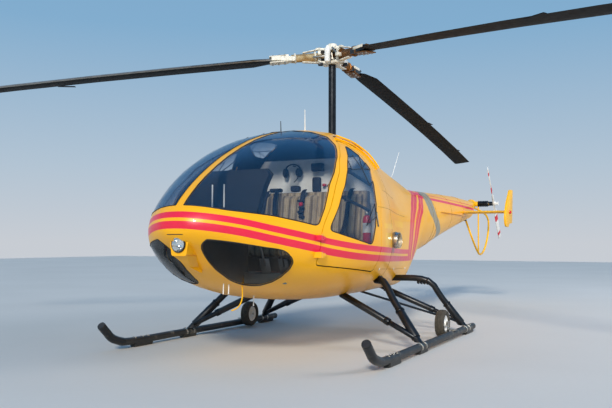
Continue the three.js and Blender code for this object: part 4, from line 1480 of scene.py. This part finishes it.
@dataclass(frozen=True)
class MainRotor:
    """The hub's plates, bearings and dampers, the grips and the blades.

    Spots are metres out along an arm, to its side, and above the ground, and the lines of turned pieces
    are radii and heights.
    """

    azimuths: tuple[int, ...] = (60, 180, 300)
    reach: float = 0.149
    arm_half: float = 0.052
    waist: float = 0.062
    lower: Pair = (2.731, 2.757)
    upper: Pair = (2.866, 2.890)
    bolts: tuple[Pair, ...] = ((-14, 0.122), (14, 0.122), (0, 0.075))
    bolt: float = 0.011
    drum: Line = (
        (0.0, 2.757), (0.058, 2.757), (0.062, 2.765), (0.05, 2.78), (0.05, 2.845), (0.06, 2.858),
        (0.056, 2.866), (0, 2.866))
    cap: Line = (
        (0, 2.889), (0.062, 2.889), (0.062, 2.897), (0.05, 2.902), (0.05, 2.93), (0.043, 2.942),
        (0.02, 2.949), (0, 2.95))
    bearing: Line = (
        (0, 2.757), (0.04, 2.757), (0.046, 2.768), (0.04, 2.774), (0.046, 2.782), (0.04, 2.790),
        (0.046, 2.80), (0.04, 2.81), (0.046, 2.82), (0.04, 2.83), (0.046, 2.842), (0.044, 2.866), (0, 2.866))
    bearing_spot: Spot = (0.1, 0, 0)
    damper: Line = (
        (0, 2.735), (0.022, 2.735), (0.030, 2.743), (0.030, 2.876), (0.020, 2.884), (0.013, 2.905),
        (0, 2.907))
    damper_spot: Spot = (0.058, 0.100, 0)
    links: tuple[tuple[str, Spot, Spot, float], ...] = (
        ("drag_link", (0.075, 0.098, 2.795), (0.20, 0.050, 2.795), 0.011),
        ("horn_link", (0.085, -0.062, 2.885), (0.175, -0.060, 2.80), 0.009),
        ("plate_post", (0.135, 0.0, 2.755), (0.135, 0.0, 2.905), 0.014))
    yoke: tuple[Box, ...] = (
        ("pitch_horn", (0.165, -0.085, 2.775), (0.215, -0.035, 2.812), 0.008, 3),
        ("yoke_behind", (0.060, -0.039, 2.758), (0.150, -0.021, 2.866), 0.004, 2),
        ("yoke_ahead", (0.060, 0.021, 2.758), (0.150, 0.039, 2.866), 0.004, 2),
        ("top_link", (0.105, -0.020, 2.889), (0.172, 0.020, 2.899), 0.004, 2))
    stops: tuple[Box, ...] = (
        ("stop", (0.030, -0.098, 2.768), (0.072, -0.062, 2.852), 0.008, 3),
        ("stop_low", (0.10, 0.055, 2.700), (0.150, 0.085, 2.735), 0.008, 3))
    bush: tuple[Spot, Spot, float] = ((0.075, -0.045, 2.83), (0.075, 0.045, 2.83), 0.016)
    rings: tuple[Spot, ...] = ((0.165, 0.185, 0.052), (0.372, 0.388, 0.053))
    strap_reach: float = 0.222
    clevis_reach: float = 0.543
    slope: float = 0.11
    bolt_reaches: tuple[float, ...] = (0.48, 0.543, 0.605)
    fork: float = 0.405
    edge_facing: float = 0.8
    edge_start: float = 0.66
    tabs: tuple[Pair, ...] = ((2.62, 2.80), (4.06, 4.20))
    squash: float = 0.6

    def build(self) -> None:
        """Builds the rotor head and dresses the blades."""
        axis = at(0, 0, 0)
        dressed("mast", Surface.OILED, "main_rotor")
        self.plate("hub_plate_lower", self.lower, ["hub"])
        self.plate("hub_plate_upper", self.upper, [])
        self.fitted(turned("hub_drum", self.drum, axis), Surface.STEEL)
        self.fitted(turned("hub_cap", self.cap, axis), Surface.CREAM)
        for name, azimuth in BLADE_TURNS.items():
            turn = Matrix.Translation(axis) @ Matrix.Rotation(math.radians(azimuth), 4, "Z")
            self.grip(name)
            self.arm(name, turn)
            self.clasp(name, turn)
            self.blade(name, turn)
        self.collar()

    def fitted(self, piece: Piece, surface: Surface, nodes: Sequence[str] = ()) -> None:
        """Finishes a metal piece that turns with the rotor."""
        settled(piece, surface, "main_rotor", nodes)

    def collar(self) -> None:
        """The white collar under the mast, lower than its solid."""
        collar = copy_of("mast_collar")
        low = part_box("mast_collar")[0][2]
        for corner in collar.data.vertices:
            corner.co.z = low + (corner.co.z - low) * self.squash
        settled(collar, Surface.WHITE, "airframe", ["mast_collar"], 40)

    def star(self, height: float, step: int = 10) -> list[Vector]:
        """The outline of a plate: arms with round ends, and hollow flanks between them."""
        spots = []
        for azimuth in self.azimuths:
            base = Matrix.Rotation(math.radians(azimuth), 2)
            for k in range(-step, step + 1):
                turn = math.radians(k / step * 88)
                spots.append(base @ Vector((self.reach - self.arm_half + self.arm_half * math.cos(turn),
                                            self.arm_half * math.sin(turn))))
            waist = math.radians(azimuth + 60)
            spots.append(Vector((math.cos(waist), math.sin(waist))) * self.waist)
        return [at(*spot, height) for spot in spots]

    def plate(self, name: str, levels: Pair, nodes: Sequence[str]) -> None:
        """A forged plate with its bolts."""
        low, high = levels
        self.fitted(eased(drawn_out(name, self.star(high), (0, 0, low - high)), 0.004), Surface.CREAM, nodes)
        spots = []
        for azimuth in self.azimuths:
            for turn, reach in self.bolts:
                angle = math.radians(azimuth + turn)
                spots.append((at(reach * math.cos(angle), reach * math.sin(angle), high + 0.004),
                              Vector((0, 0, 1))))
        self.fitted(studs(name + "_bolts", spots, self.bolt, 0.006), Surface.STEEL)

    def grip(self, name: str) -> None:
        """A grip, plated or anodised to its fork and of another finish past it."""
        root, tip = (Surface.PLATED, Surface.CREAM) if name == "right" else (Surface.BRASS, Surface.OILED)
        grip = eased(copy_of(f"grip_{name}"), 0.004)
        self.fitted(grip, root, [f"grip_{name}"])
        grip.data.materials.append(tip.value.material())
        for face in grip.data.polygons:
            face.material_index = int((face.center.xy - at(0, 0, 0).xy).length > self.fork)

    def arm(self, name: str, turn: Matrix) -> None:
        """What one arm of the head carries between its plates: bearing, damper, links and stops.

        Args:
            name: The blade's name.
            turn: From the arm's own place to the row frame.
        """
        links = [rod(f"{label}_{name}", start, end, radius) for label, start, end, radius in self.links]
        start, end, radius = self.bush
        stops = [*blocks(self.stops, suffix=f"_{name}"), rod(f"bush_{name}", start, end, radius)]
        for piece, surface in (
                (turned(f"bearing_{name}", self.bearing, self.bearing_spot), Surface.RUBBER),
                (turned(f"damper_{name}", self.damper, self.damper_spot, steps=28), Surface.WHITE),
                (joined(f"links_{name}", links), Surface.STEEL),
                (joined(f"yoke_{name}", blocks(self.yoke, suffix=f"_{name}")), Surface.CREAM),
                (joined(f"stops_{name}", stops), Surface.OILED)):
            piece.data.transform(turn)
            self.fitted(piece, surface)

    def clasp(self, name: str, turn: Matrix) -> None:
        """What holds one blade's root: the rings, straps, clevis and bolts on its grip.

        Args:
            name: The blade's name.
            turn: From the arm's own place to the row frame.
        """
        rings = [rod(f"grip_ring_{name}_{k}", (near, 0, self.droop(near)), (far, 0, self.droop(far)), radius)
                 for k, (near, far, radius) in enumerate(self.rings)]
        straps, plates = [], []
        for side in (-1, 1):
            strap = block(f"arm_strap_{name}_{side}", (-0.085, -0.026, -0.005), (0.085, 0.026, 0.005))
            strap.data.transform(self.hung(self.strap_reach, side * 0.058, self.slope + side * 0.13))
            straps.append(strap)
            plates.append(block(f"clevis_{name}_{side}", (-0.097, -0.060, side * 0.030 - 0.006),
                                (0.097, 0.060, side * 0.030 + 0.006), 0.004))
        if name != "right":
            middle = self.droop(0.50)
            straps += [block(f"root_plate_{name}_{side}", (0.43, side * 0.061 - 0.004, middle + 0.006),
                             (0.58, side * 0.061 + 0.004, middle + 0.034)) for side in (-1, 1)]
        cheek = block(f"clevis_end_{name}", (-0.100, -0.061, -0.034), (-0.070, 0.061, 0.034), 0.004)
        clevis = joined(f"clevis_{name}", [*plates, cheek])
        clevis.data.transform(self.hung(self.clevis_reach, 0, self.slope))
        metal = Surface.CREAM if name == "right" else Surface.BRASS
        for piece, surface in ((joined(f"grip_rings_{name}", rings), metal), (clevis, metal),
                               (joined(f"arm_straps_{name}", straps), Surface.CREAM)):
            piece.data.transform(turn)
            self.fitted(piece, surface)
        heads = [(turn @ Vector((r, y, self.droop(r) + side * 0.038)), Vector((0, 0, side)))
                 for r in self.bolt_reaches for y in (-0.034, 0.034) for side in (-1, 1)]
        self.fitted(studs(f"grip_bolts_{name}", heads, 0.011, 0.009), Surface.STEEL)

    def hung(self, reach: float, lift: float, pitch: float) -> Matrix:
        """The place of a piece on a grip: its reach, its height over the middle and its slope."""
        return Matrix.Translation((reach, 0, self.droop(reach) + lift)) @ Matrix.Rotation(pitch, 4, "Y")

    def droop(self, radius: float) -> float:
        """The height of a blade's middle at a radius, as in the part's source."""
        return 2.810 - 0.110 * (radius - 0.2) - 0.095 * (radius / 4.877) ** 3

    def blade(self, name: str, turn: Matrix) -> None:
        """One blade with its bare leading edge and trim tabs.

        Args:
            name: The blade's name.
            turn: From the blade's own place to the row frame.
        """
        piece = copy_of(f"blade_{name}")
        settled(piece, Surface.BLADE, "main_rotor", [f"blade_{name}"], 30)
        piece.data.materials.append(Surface.EDGE.value.material())
        back = turn.inverted()
        for face in piece.data.polygons:
            ahead = (back.to_3x3() @ face.normal).y
            bare = ahead > self.edge_facing and (back @ face.center).x > self.edge_start
            face.material_index = int(bare)
        tabs = [block(f"tab_{name}_{k}", (low, -0.212, self.droop(high) - 0.003),
                      (high, -0.172, self.droop(high) + 0.003), 0.002, 1)
                for k, (low, high) in enumerate(self.tabs)]
        whole = joined(f"trim_tabs_{name}", tabs)
        whole.data.transform(turn)
        settled(whole, Surface.BLADE, "main_rotor")


TAIL_AXIS = (-5.71, 0.0, 1.58)   # the tail rotor's axis: its station, the middle, and its height


@dataclass(frozen=True)
class BandedPaint(Finish):
    """White blade enamel with red bands at two distances from the hub, so that the spinning disc shows."""

    centre: Spot = (MAST_X + TAIL_AXIS[0], 0.38, TAIL_AXIS[2])
    bands: tuple[Pair, ...] = ((0.24, 0.35), (0.58, 0.64))
    red: str = "#c8202c"

    def colours(self, graph: Graph, place: Socket) -> Socket:
        """White, with red between the radii."""
        base = super().colours(graph, place)
        reach = graph.add("VectorMath", {"operation": "DISTANCE"}, {0: place, 1: self.centre}, "Value")
        for low, high in self.bands:
            base = blended(graph, band(graph, reach, low, high), base, linear(self.red))
        return base


@dataclass(frozen=True)
class Tail:
    """The tail rotor, its drive, the tail surfaces, their lamps and the guard, in metres."""

    enamel: BandedPaint = BandedPaint("tail_blade_enamel", "#dedcd5", "#cfccc3", 0.4, grain=60)
    slider: Line = (
        (0, 0), (0.036, 0), (0.04, 0.004), (0.04, 0.018), (0.02, 0.022), (0.02, 0.05), (0.034, 0.052),
        (0.034, 0.062), (0, 0.066))
    slider_port: float = 0.393
    dome: Line = ((0.028, 0), (0.028, 0.008), (0.022, 0.018), (0.012, 0.025), (0, 0.027))
    lamp: Spot = (-4.62, 0.853, 1.385)
    rib_start: float = 0.12
    rib_pitch: float = 0.028
    ribs: int = 6

    def build(self) -> None:
        """Dresses the tail."""
        for node in ("stabilizer", "end_plate_left", "end_plate_right", "tail_gearbox", "tail_guard"):
            dressed(node, Surface.YELLOW, rim=0.004 if node.startswith("end") else 0.0)
        dressed("tail_hub", Surface.OILED, "tail_rotor")
        self.sleeve()
        self.blades()
        for name, side in SIDES.items():
            station, port, height = self.lamp
            dome = turned(f"tail_lamp_{name}", self.dome, at(station, side * port, height), (0, side, 0))
            settled(dome, Surface.PORT if side > 0 else Surface.STARBOARD)
        clamp = block("guard_clamp", at(-5.27, -0.03, 1.28), at(-5.20, 0.03, 1.345), 0.006)
        settled(clamp, Surface.BLACK)

    def blades(self) -> None:
        """The banded blades, and the slider that sets their pitch."""
        blades = copy_of("tail_blades")
        blades.data.materials.clear()
        blades.data.materials.append(self.enamel.material())
        settled(eased(blades, 0.0035), None, "tail_rotor", ["tail_blades"])
        station, _, height = TAIL_AXIS
        slider = turned("pitch_slider", self.slider, at(station, self.slider_port, height), (0, 1, 0))
        settled(slider, Surface.WHITE, "tail_rotor")

    def sleeve(self) -> None:
        """The ribbed dark sleeve over the tail rotor's shaft."""
        line = [(0.044, 0.115)]
        for k in range(self.ribs):
            low = self.rib_start + k * self.rib_pitch
            line += [(0.051, low), (0.051, low + 0.012), (0.043, low + 0.016), (0.043, low + 0.024)]
        line += [(0.039, 0.292), (0.036, 0.298)]
        sleeve = turned("tail_shaft_sleeve", line, at(*TAIL_AXIS), (0, 1, 0), 32)
        settled(sleeve, Surface.OILED)


@dataclass(frozen=True)
class Gear:
    """The skids, their legs and the ground-handling wheels, in metres.

    A leg's spots are its foot, its bend, its place at the belly and the upper end of its damper. `toe` and
    `shoe_bolts` are stations and heights, and `rim` is the radii and heights of a wheel's section.
    """

    skid: float = 0.033
    skid_port: float = 1.18
    skid_middle: float = 0.053
    feet: tuple[float, ...] = (0.792, -0.665)
    legs: tuple[tuple[str, Spot, Spot, Spot, Spot], ...] = (
        ("front", (0.792, 1.17, 0.066), (0.53, 0.73, 0.585), (0.50, 0.48, 0.61), (0.70, 0.33, 0.50)),
        ("aft", (-0.665, 1.17, 0.066), (-0.51, 0.852, 0.53), (-0.50, 0.40, 0.56), (-0.56, 0.26, 0.48)))
    toe: Line = ((1.755, 0.062), (1.83, 0.083), (1.90, 0.112), (1.965, 0.168), (2.022, 0.220))
    shoe_bolts: Line = ((1.42, 0.082), (1.50, 0.082), (1.60, 0.083), (-0.72, 0.082), (-0.80, 0.082))
    wheel: Spot = (-0.195, 1.076, 0.145)
    radius: float = 0.132
    half: float = 0.045
    rim: Line = (
        (0.0125, -0.042), (0.026, -0.042), (0.03, -0.03), (0.055, -0.018), (0.068, -0.03), (0.079, -0.031),
        (0.079, 0.031), (0.068, 0.03), (0.055, 0.018), (0.03, 0.03), (0.026, 0.042), (0.0125, 0.042),
        (0.0125, -0.042))

    def build(self) -> None:
        """Dresses the landing gear on both sides."""
        for name, side in SIDES.items():
            for leg in ("front", "aft"):
                dressed(f"leg_{leg}_{name}", Surface.BLACK, angle=40)
            dressed(f"skid_{name}", Surface.WORN, angle=40)
            self.saddles(name, side)
            self.struts(name, side)
            self.toe_cap(name, side)
            self.tyre(name, side)
            dressed(f"wheel_bracket_{name}", Surface.STEEL, rim=0.002)

    def saddles(self, name: str, side: int) -> None:
        """Saddles that hold the legs to a skid, with their bolts."""
        line = [(self.skid, 0), (self.skid + 0.004, 0.001), (self.skid + 0.004, 0.021), (self.skid, 0.022)]
        saddles, heads = [], []
        for foot in self.feet:
            for shift in (-0.065, 0.045):
                middle = at(foot + shift, side * self.skid_port, self.skid_middle)
                saddles.append(turned(f"saddle_{name}", line, middle, (1, 0, 0), 28))
                heads.append((middle + Vector((0.011, 0, self.skid + 0.004)), Vector((0, 0, 1))))
        settled(joined(f"skid_saddles_{name}", saddles), Surface.STEEL)
        settled(studs(f"skid_bolts_{name}", heads, 0.008, 0.006), Surface.STEEL)

    def struts(self, name: str, side: int) -> None:
        """The legs' lower fairings and clamps, the boots above, and the dampers beside them."""
        mirror = Matrix.Diagonal((1, side, 1, 1))
        for leg, *spots in self.legs:
            lower, upper, inner, brace = (at(*spot) for spot in spots)
            end = lower + Vector((-0.010, -0.025, 0.045))
            dark = [self.length("fairing", (lower, upper), (0.10, 0.50), 0.040, 0.036)]
            dark += [self.length(f"boot_{k}", (upper, inner), (low, low + 0.04), 0.040, 0.035)
                     for k, low in enumerate((0.02, 0.09, 0.16, 0.23))]
            dark.append(self.length("damper", (brace, end), (0.10, 0.66), 0.030))
            bright = [self.length("band", (lower, upper), (0.49, 0.52), 0.041),
                      self.length("gland", (brace, end), (0.63, 0.68), 0.033),
                      self.length("piston", (brace, end), (0.67, 0.97), 0.0235)]
            for label, pieces, surface, slot in (
                    ("fairings", dark, Surface.BLACK, "black_paint"),
                    ("bands", bright, Surface.OILED, "bracket_metal")):
                piece = joined(f"leg_{label}_{leg}_{name}", pieces)
                final = copied(piece, f"{piece.name}_set", mirror)
                bpy.data.objects.remove(piece)
                settled(final, surface, angle=50)

    def length(self, name: str, ends: tuple[Vector, Vector], shares: Pair, radius: float,
               far: float | None = None) -> Piece:
        """A rod along part of a tube.

        Args:
            name: The piece's name.
            ends: The ends of the tube's centre line.
            shares: Where the rod starts and stops, as shares of that line.
            radius: Its radius at the start.
            far: Its radius at the end, when it tapers.

        Returns:
            The new piece.
        """
        first, last = (ends[0].lerp(ends[1], share) for share in shares)
        return rod(name, first, last, radius, far)

    def toe_cap(self, name: str, side: int) -> None:
        """The black cap on a skid's upturned toe, and the bolts behind it."""
        spots = [at(x, side * self.skid_port, z) for x, z in self.toe]
        settled(pipe(f"skid_toe_{name}", spots, self.skid + 0.003), Surface.BLACK)
        bolts = [(at(x, side * (self.skid_port + off), z), Vector((0, off, 0.03)))
                 for x, z in self.shoe_bolts for off in (0.012, -0.012)]
        settled(studs(f"shoe_bolts_{name}", bolts, 0.008, 0.007), Surface.STEEL)

    def tyre(self, name: str, side: int) -> None:
        """A treaded tyre on a pressed white rim."""
        station, port, height = self.wheel
        centre = at(station, side * port, height)
        r = self.radius
        near = [(0.078, -0.030), (0.085, -0.040), (0.105, -self.half), (0.120, -0.042), (r - 0.002, -0.028),
                (r, -0.016), (r - 0.004, -0.013), (r, -0.010)]
        line = [*near, *((radius, -off) for radius, off in reversed(near)), (0.074, 0), near[0]]
        tyre = turned(f"tyre_{name}", line, centre, (0, 1, 0), 56)
        settled(tyre, Surface.DUSTY, f"{name}_wheel", [f"wheel_{name}"], 30)
        rim = turned(f"rim_{name}", self.rim, centre, (0, 1, 0))
        settled(rim, Surface.WHITE, f"{name}_wheel")


@dataclass(frozen=True)
class Fittings:
    """The landing lamp, exhausts, aerials, drains and the vent hose, in metres."""

    hose_station: float = 2.03
    hose_line: Line = (
        (0.183, 0.620), (0.185, 0.575), (0.189, 0.526), (0.184, 0.490), (0.172, 0.460), (0.154, 0.434),
        (0.128, 0.416), (0.094, 0.405))
    lamp: Spot = (2.542, 0, 0.904)
    bowl: Line = (
        (0, 0), (0.016, 0.002), (0.032, 0.011), (0.043, 0.030), (0.051, 0.046), (0.0525, 0.044),
        (0.0445, 0.028), (0.034, 0.007), (0.018, -0.004), (0, -0.006))
    lens: Line = (
        (0.0515, 0.044), (0.0515, 0.047), (0.034, 0.053), (0, 0.056), (0, 0.052), (0.034, 0.049),
        (0.0515, 0.044))
    ring: Line = (
        (0.0525, 0.030), (0.058, 0.030), (0.059, 0.038), (0.057, 0.046), (0.0525, 0.047), (0.0525, 0.030))
    exhaust: Spot = (0.3, 0.775, 0.943)
    sooty_lit_radius: float = 0.0685
    sooty_lit_port: float = 0.80
    clamp: Line = ((0.0725, 0), (0.078, 0.001), (0.078, 0.015), (0.0725, 0.016))
    thinning: float = 0.45

    def build(self) -> None:
        """Builds or dresses the small fittings, apart from the hose."""
        self.landing_lamp()
        for name, side in SIDES.items():
            self.stub(name, side)
        for node in ("aerial_front", "aerial_mid", "aerial_rear"):
            dressed(node, Surface.BLACK if node == "aerial_front" else Surface.WHITE)
        for node in ("drain_front", "drain_side", "drain_rear"):
            drain = copy_of(node)
            for corner in drain.data.vertices:
                for axis in (0, 1):
                    middle = sum(c[axis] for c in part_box(node)) / 2
                    corner.co[axis] += (middle - corner.co[axis]) * self.thinning
            settled(drain, Surface.WHITE, "airframe", [node])

    def hose(self) -> None:
        """The yellow vent hose, along the same points as in the part's source."""
        route = [at(self.hose_station, y, z) for y, z in self.hose_line]
        curve = bpy.data.curves.new("vent_hose_route", "CURVE")
        curve.dimensions = "3D"
        spline = curve.splines.new("NURBS")
        spline.points.add(len(route) - 1)
        for spot, point in zip(spline.points, route):
            spot.co = (*point, 1)
        spline.use_endpoint_u = True
        spline.order_u = 4
        curve.bevel_depth = 0.005
        curve.bevel_resolution = 4
        curve.use_fill_caps = True
        hose = linked("vent_hose_dressed", curve)
        hose.data.materials.append(Surface.YELLOW.value.material())
        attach(hose, "airframe")
        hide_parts("vent_hose")

    def landing_lamp(self) -> None:
        """A bright bowl behind a clear lens, in a black ring."""
        centre = at(*self.lamp)
        settled(turned("lamp_bowl", self.bowl, centre, (1, 0, 0)), Surface.CHROME)
        lens = turned("lamp_cover", self.lens, centre, (1, 0, 0))
        settled(lens, Surface.LENS, "airframe", ["landing_light"])
        settled(turned("lamp_ring", self.ring, centre, (1, 0, 0)), Surface.BLACK)

    def stub(self, name: str, side: int) -> None:
        """A heat-stained exhaust stub, sooty inside with painted light on its inner wall, clamped at the
        skin.
        """
        station, port, height = self.exhaust
        node = f"exhaust_{name}"
        stub = copy_of(node)
        settled(eased(stub, 0.0015), Surface.SOOTED, "airframe", [node])
        # The inner faces take a light tan: sooty, with painted light on the inner wall.
        stub.data.materials.append(Surface.SOOT_AND_LIGHT.value.material())
        for face in stub.data.polygons:
            off = face.center - at(station, face.center.y, height)
            face.material_index = int(off.length < self.sooty_lit_radius and abs(face.center.y) < self.sooty_lit_port)
        clamp = turned(f"exhaust_clamp_{name}", self.clamp, at(station, side * port, height), (0, side, 0))
        settled(clamp, Surface.STEEL)


@dataclass(frozen=True)
class Studio:
    """The floor, the light and the camera, in the row frame's metres.

    The camera's place and axes were solved from the photograph.
    """

    lens: float = 43.55
    camera_spot: Spot = (8.7134, 3.1012, 0.9190)
    right: Spot = (-0.44646186, 0.89479913, 0.0025139)
    up: Spot = (0.04765041, 0.02096963, 0.99864394)
    ahead: Spot = (-0.89353301, -0.44597622, 0.05199968)
    target: Spot = (1.0, 0.0, 1.0)
    key_spot: Spot = (8.5, 2.2, 5.0)
    key_power: float = 2.9
    key_tint: Spot = (1.0, 0.95, 0.87)
    key_angle: float = 9.0
    fill_spot: Spot = (-2.0, 14.0, 7.5)
    fill_power: float = 1250
    fill_tint: Spot = (1.0, 0.96, 1.0)
    fill_size: Pair = (9.0, 4.0)
    sky: tuple[tuple[float, str], ...] = (
        (0.0, "#ccd1d8"), (0.10, "#b6c8d8"), (0.28, "#86b1d3"), (1.0, "#4a82bd"))
    sky_strength: float = 0.95

    def build(self) -> None:
        """Sets up the view that the photograph was taken from."""
        bpy.context.scene.view_settings.view_transform = "Standard"
        self.camera()
        self.lights()
        self.backdrop()
        floor = block("studio_floor", (-30, -30, -0.5), (30, 30, 0), 0.05)
        paint(floor, Surface.FLOOR)

    def camera(self) -> None:
        """The camera, looking along the axis solved for it."""
        lens = bpy.data.cameras.new("camera")
        lens.lens, lens.sensor_width, lens.clip_end = self.lens, 36, 200
        camera = linked("camera", lens)
        turn = Matrix((self.right, self.up, -Vector(self.ahead))).transposed().to_4x4()
        camera.matrix_world = Matrix.Translation(self.camera_spot) @ turn
        bpy.context.scene.camera = camera

    def lights(self) -> None:
        """A soft key ahead of the nose, and a wide fill to port that no gloss mirrors."""
        key = self.aimed("key", "SUN", self.key_spot, self.key_power, self.key_tint)
        key.data.angle = math.radians(self.key_angle)
        fill = self.aimed("fill", "AREA", self.fill_spot, self.fill_power, self.fill_tint)
        fill.data.shape = "RECTANGLE"
        fill.data.size, fill.data.size_y = self.fill_size
        fill.visible_glossy = False

    def backdrop(self) -> None:
        """A pale sky, bluer overhead."""
        world = bpy.data.worlds.new("studio_sky")
        bpy.context.scene.world = world
        world.use_nodes = True
        tree = world.node_tree
        background = tree.nodes["Background"]
        place = tree.nodes.new("ShaderNodeTexCoord")
        parts = tree.nodes.new("ShaderNodeSeparateXYZ")
        ramp = tree.nodes.new("ShaderNodeValToRGB")
        tree.links.new(place.outputs["Generated"], parts.inputs[0])
        tree.links.new(parts.outputs[2], ramp.inputs[0])
        tree.links.new(ramp.outputs[0], background.inputs["Color"])
        stops = ramp.color_ramp.elements
        stops[0].color, stops[1].color = linear(self.sky[0][1]), linear(self.sky[-1][1])
        for height, colour in self.sky[1:-1]:
            stops.new(height).color = linear(colour)
        background.inputs["Strength"].default_value = self.sky_strength

    def aimed(self, name: str, kind: str, spot: Spot, power: float, tint: Spot) -> Piece:
        """Places a lamp and points it at the cabin.

        Args:
            name: The lamp's name.
            kind: Its type.
            spot: Where it stands.
            power: Its strength.
            tint: Its colour, linear.

        Returns:
            The lamp's object.
        """
        lamp = bpy.data.lights.new(name, kind)
        lamp.energy, lamp.color = power, tint
        holder = linked(name, lamp)
        holder.location = spot
        holder.rotation_euler = (Vector(self.target) - Vector(spot)).to_track_quat("-Z", "Y").to_euler()
        return holder


def main() -> None:
    """Builds the camera, the hose and the helicopter."""
    logging.basicConfig(level=logging.INFO)
    fittings = Fittings()
    Studio().build()
    fittings.hose()
    Shell(Skin()).build()
    Cabin().build()
    MainRotor().build()
    Tail().build()
    Gear().build()
    fittings.build()


if __name__ == "__main__":
    main()
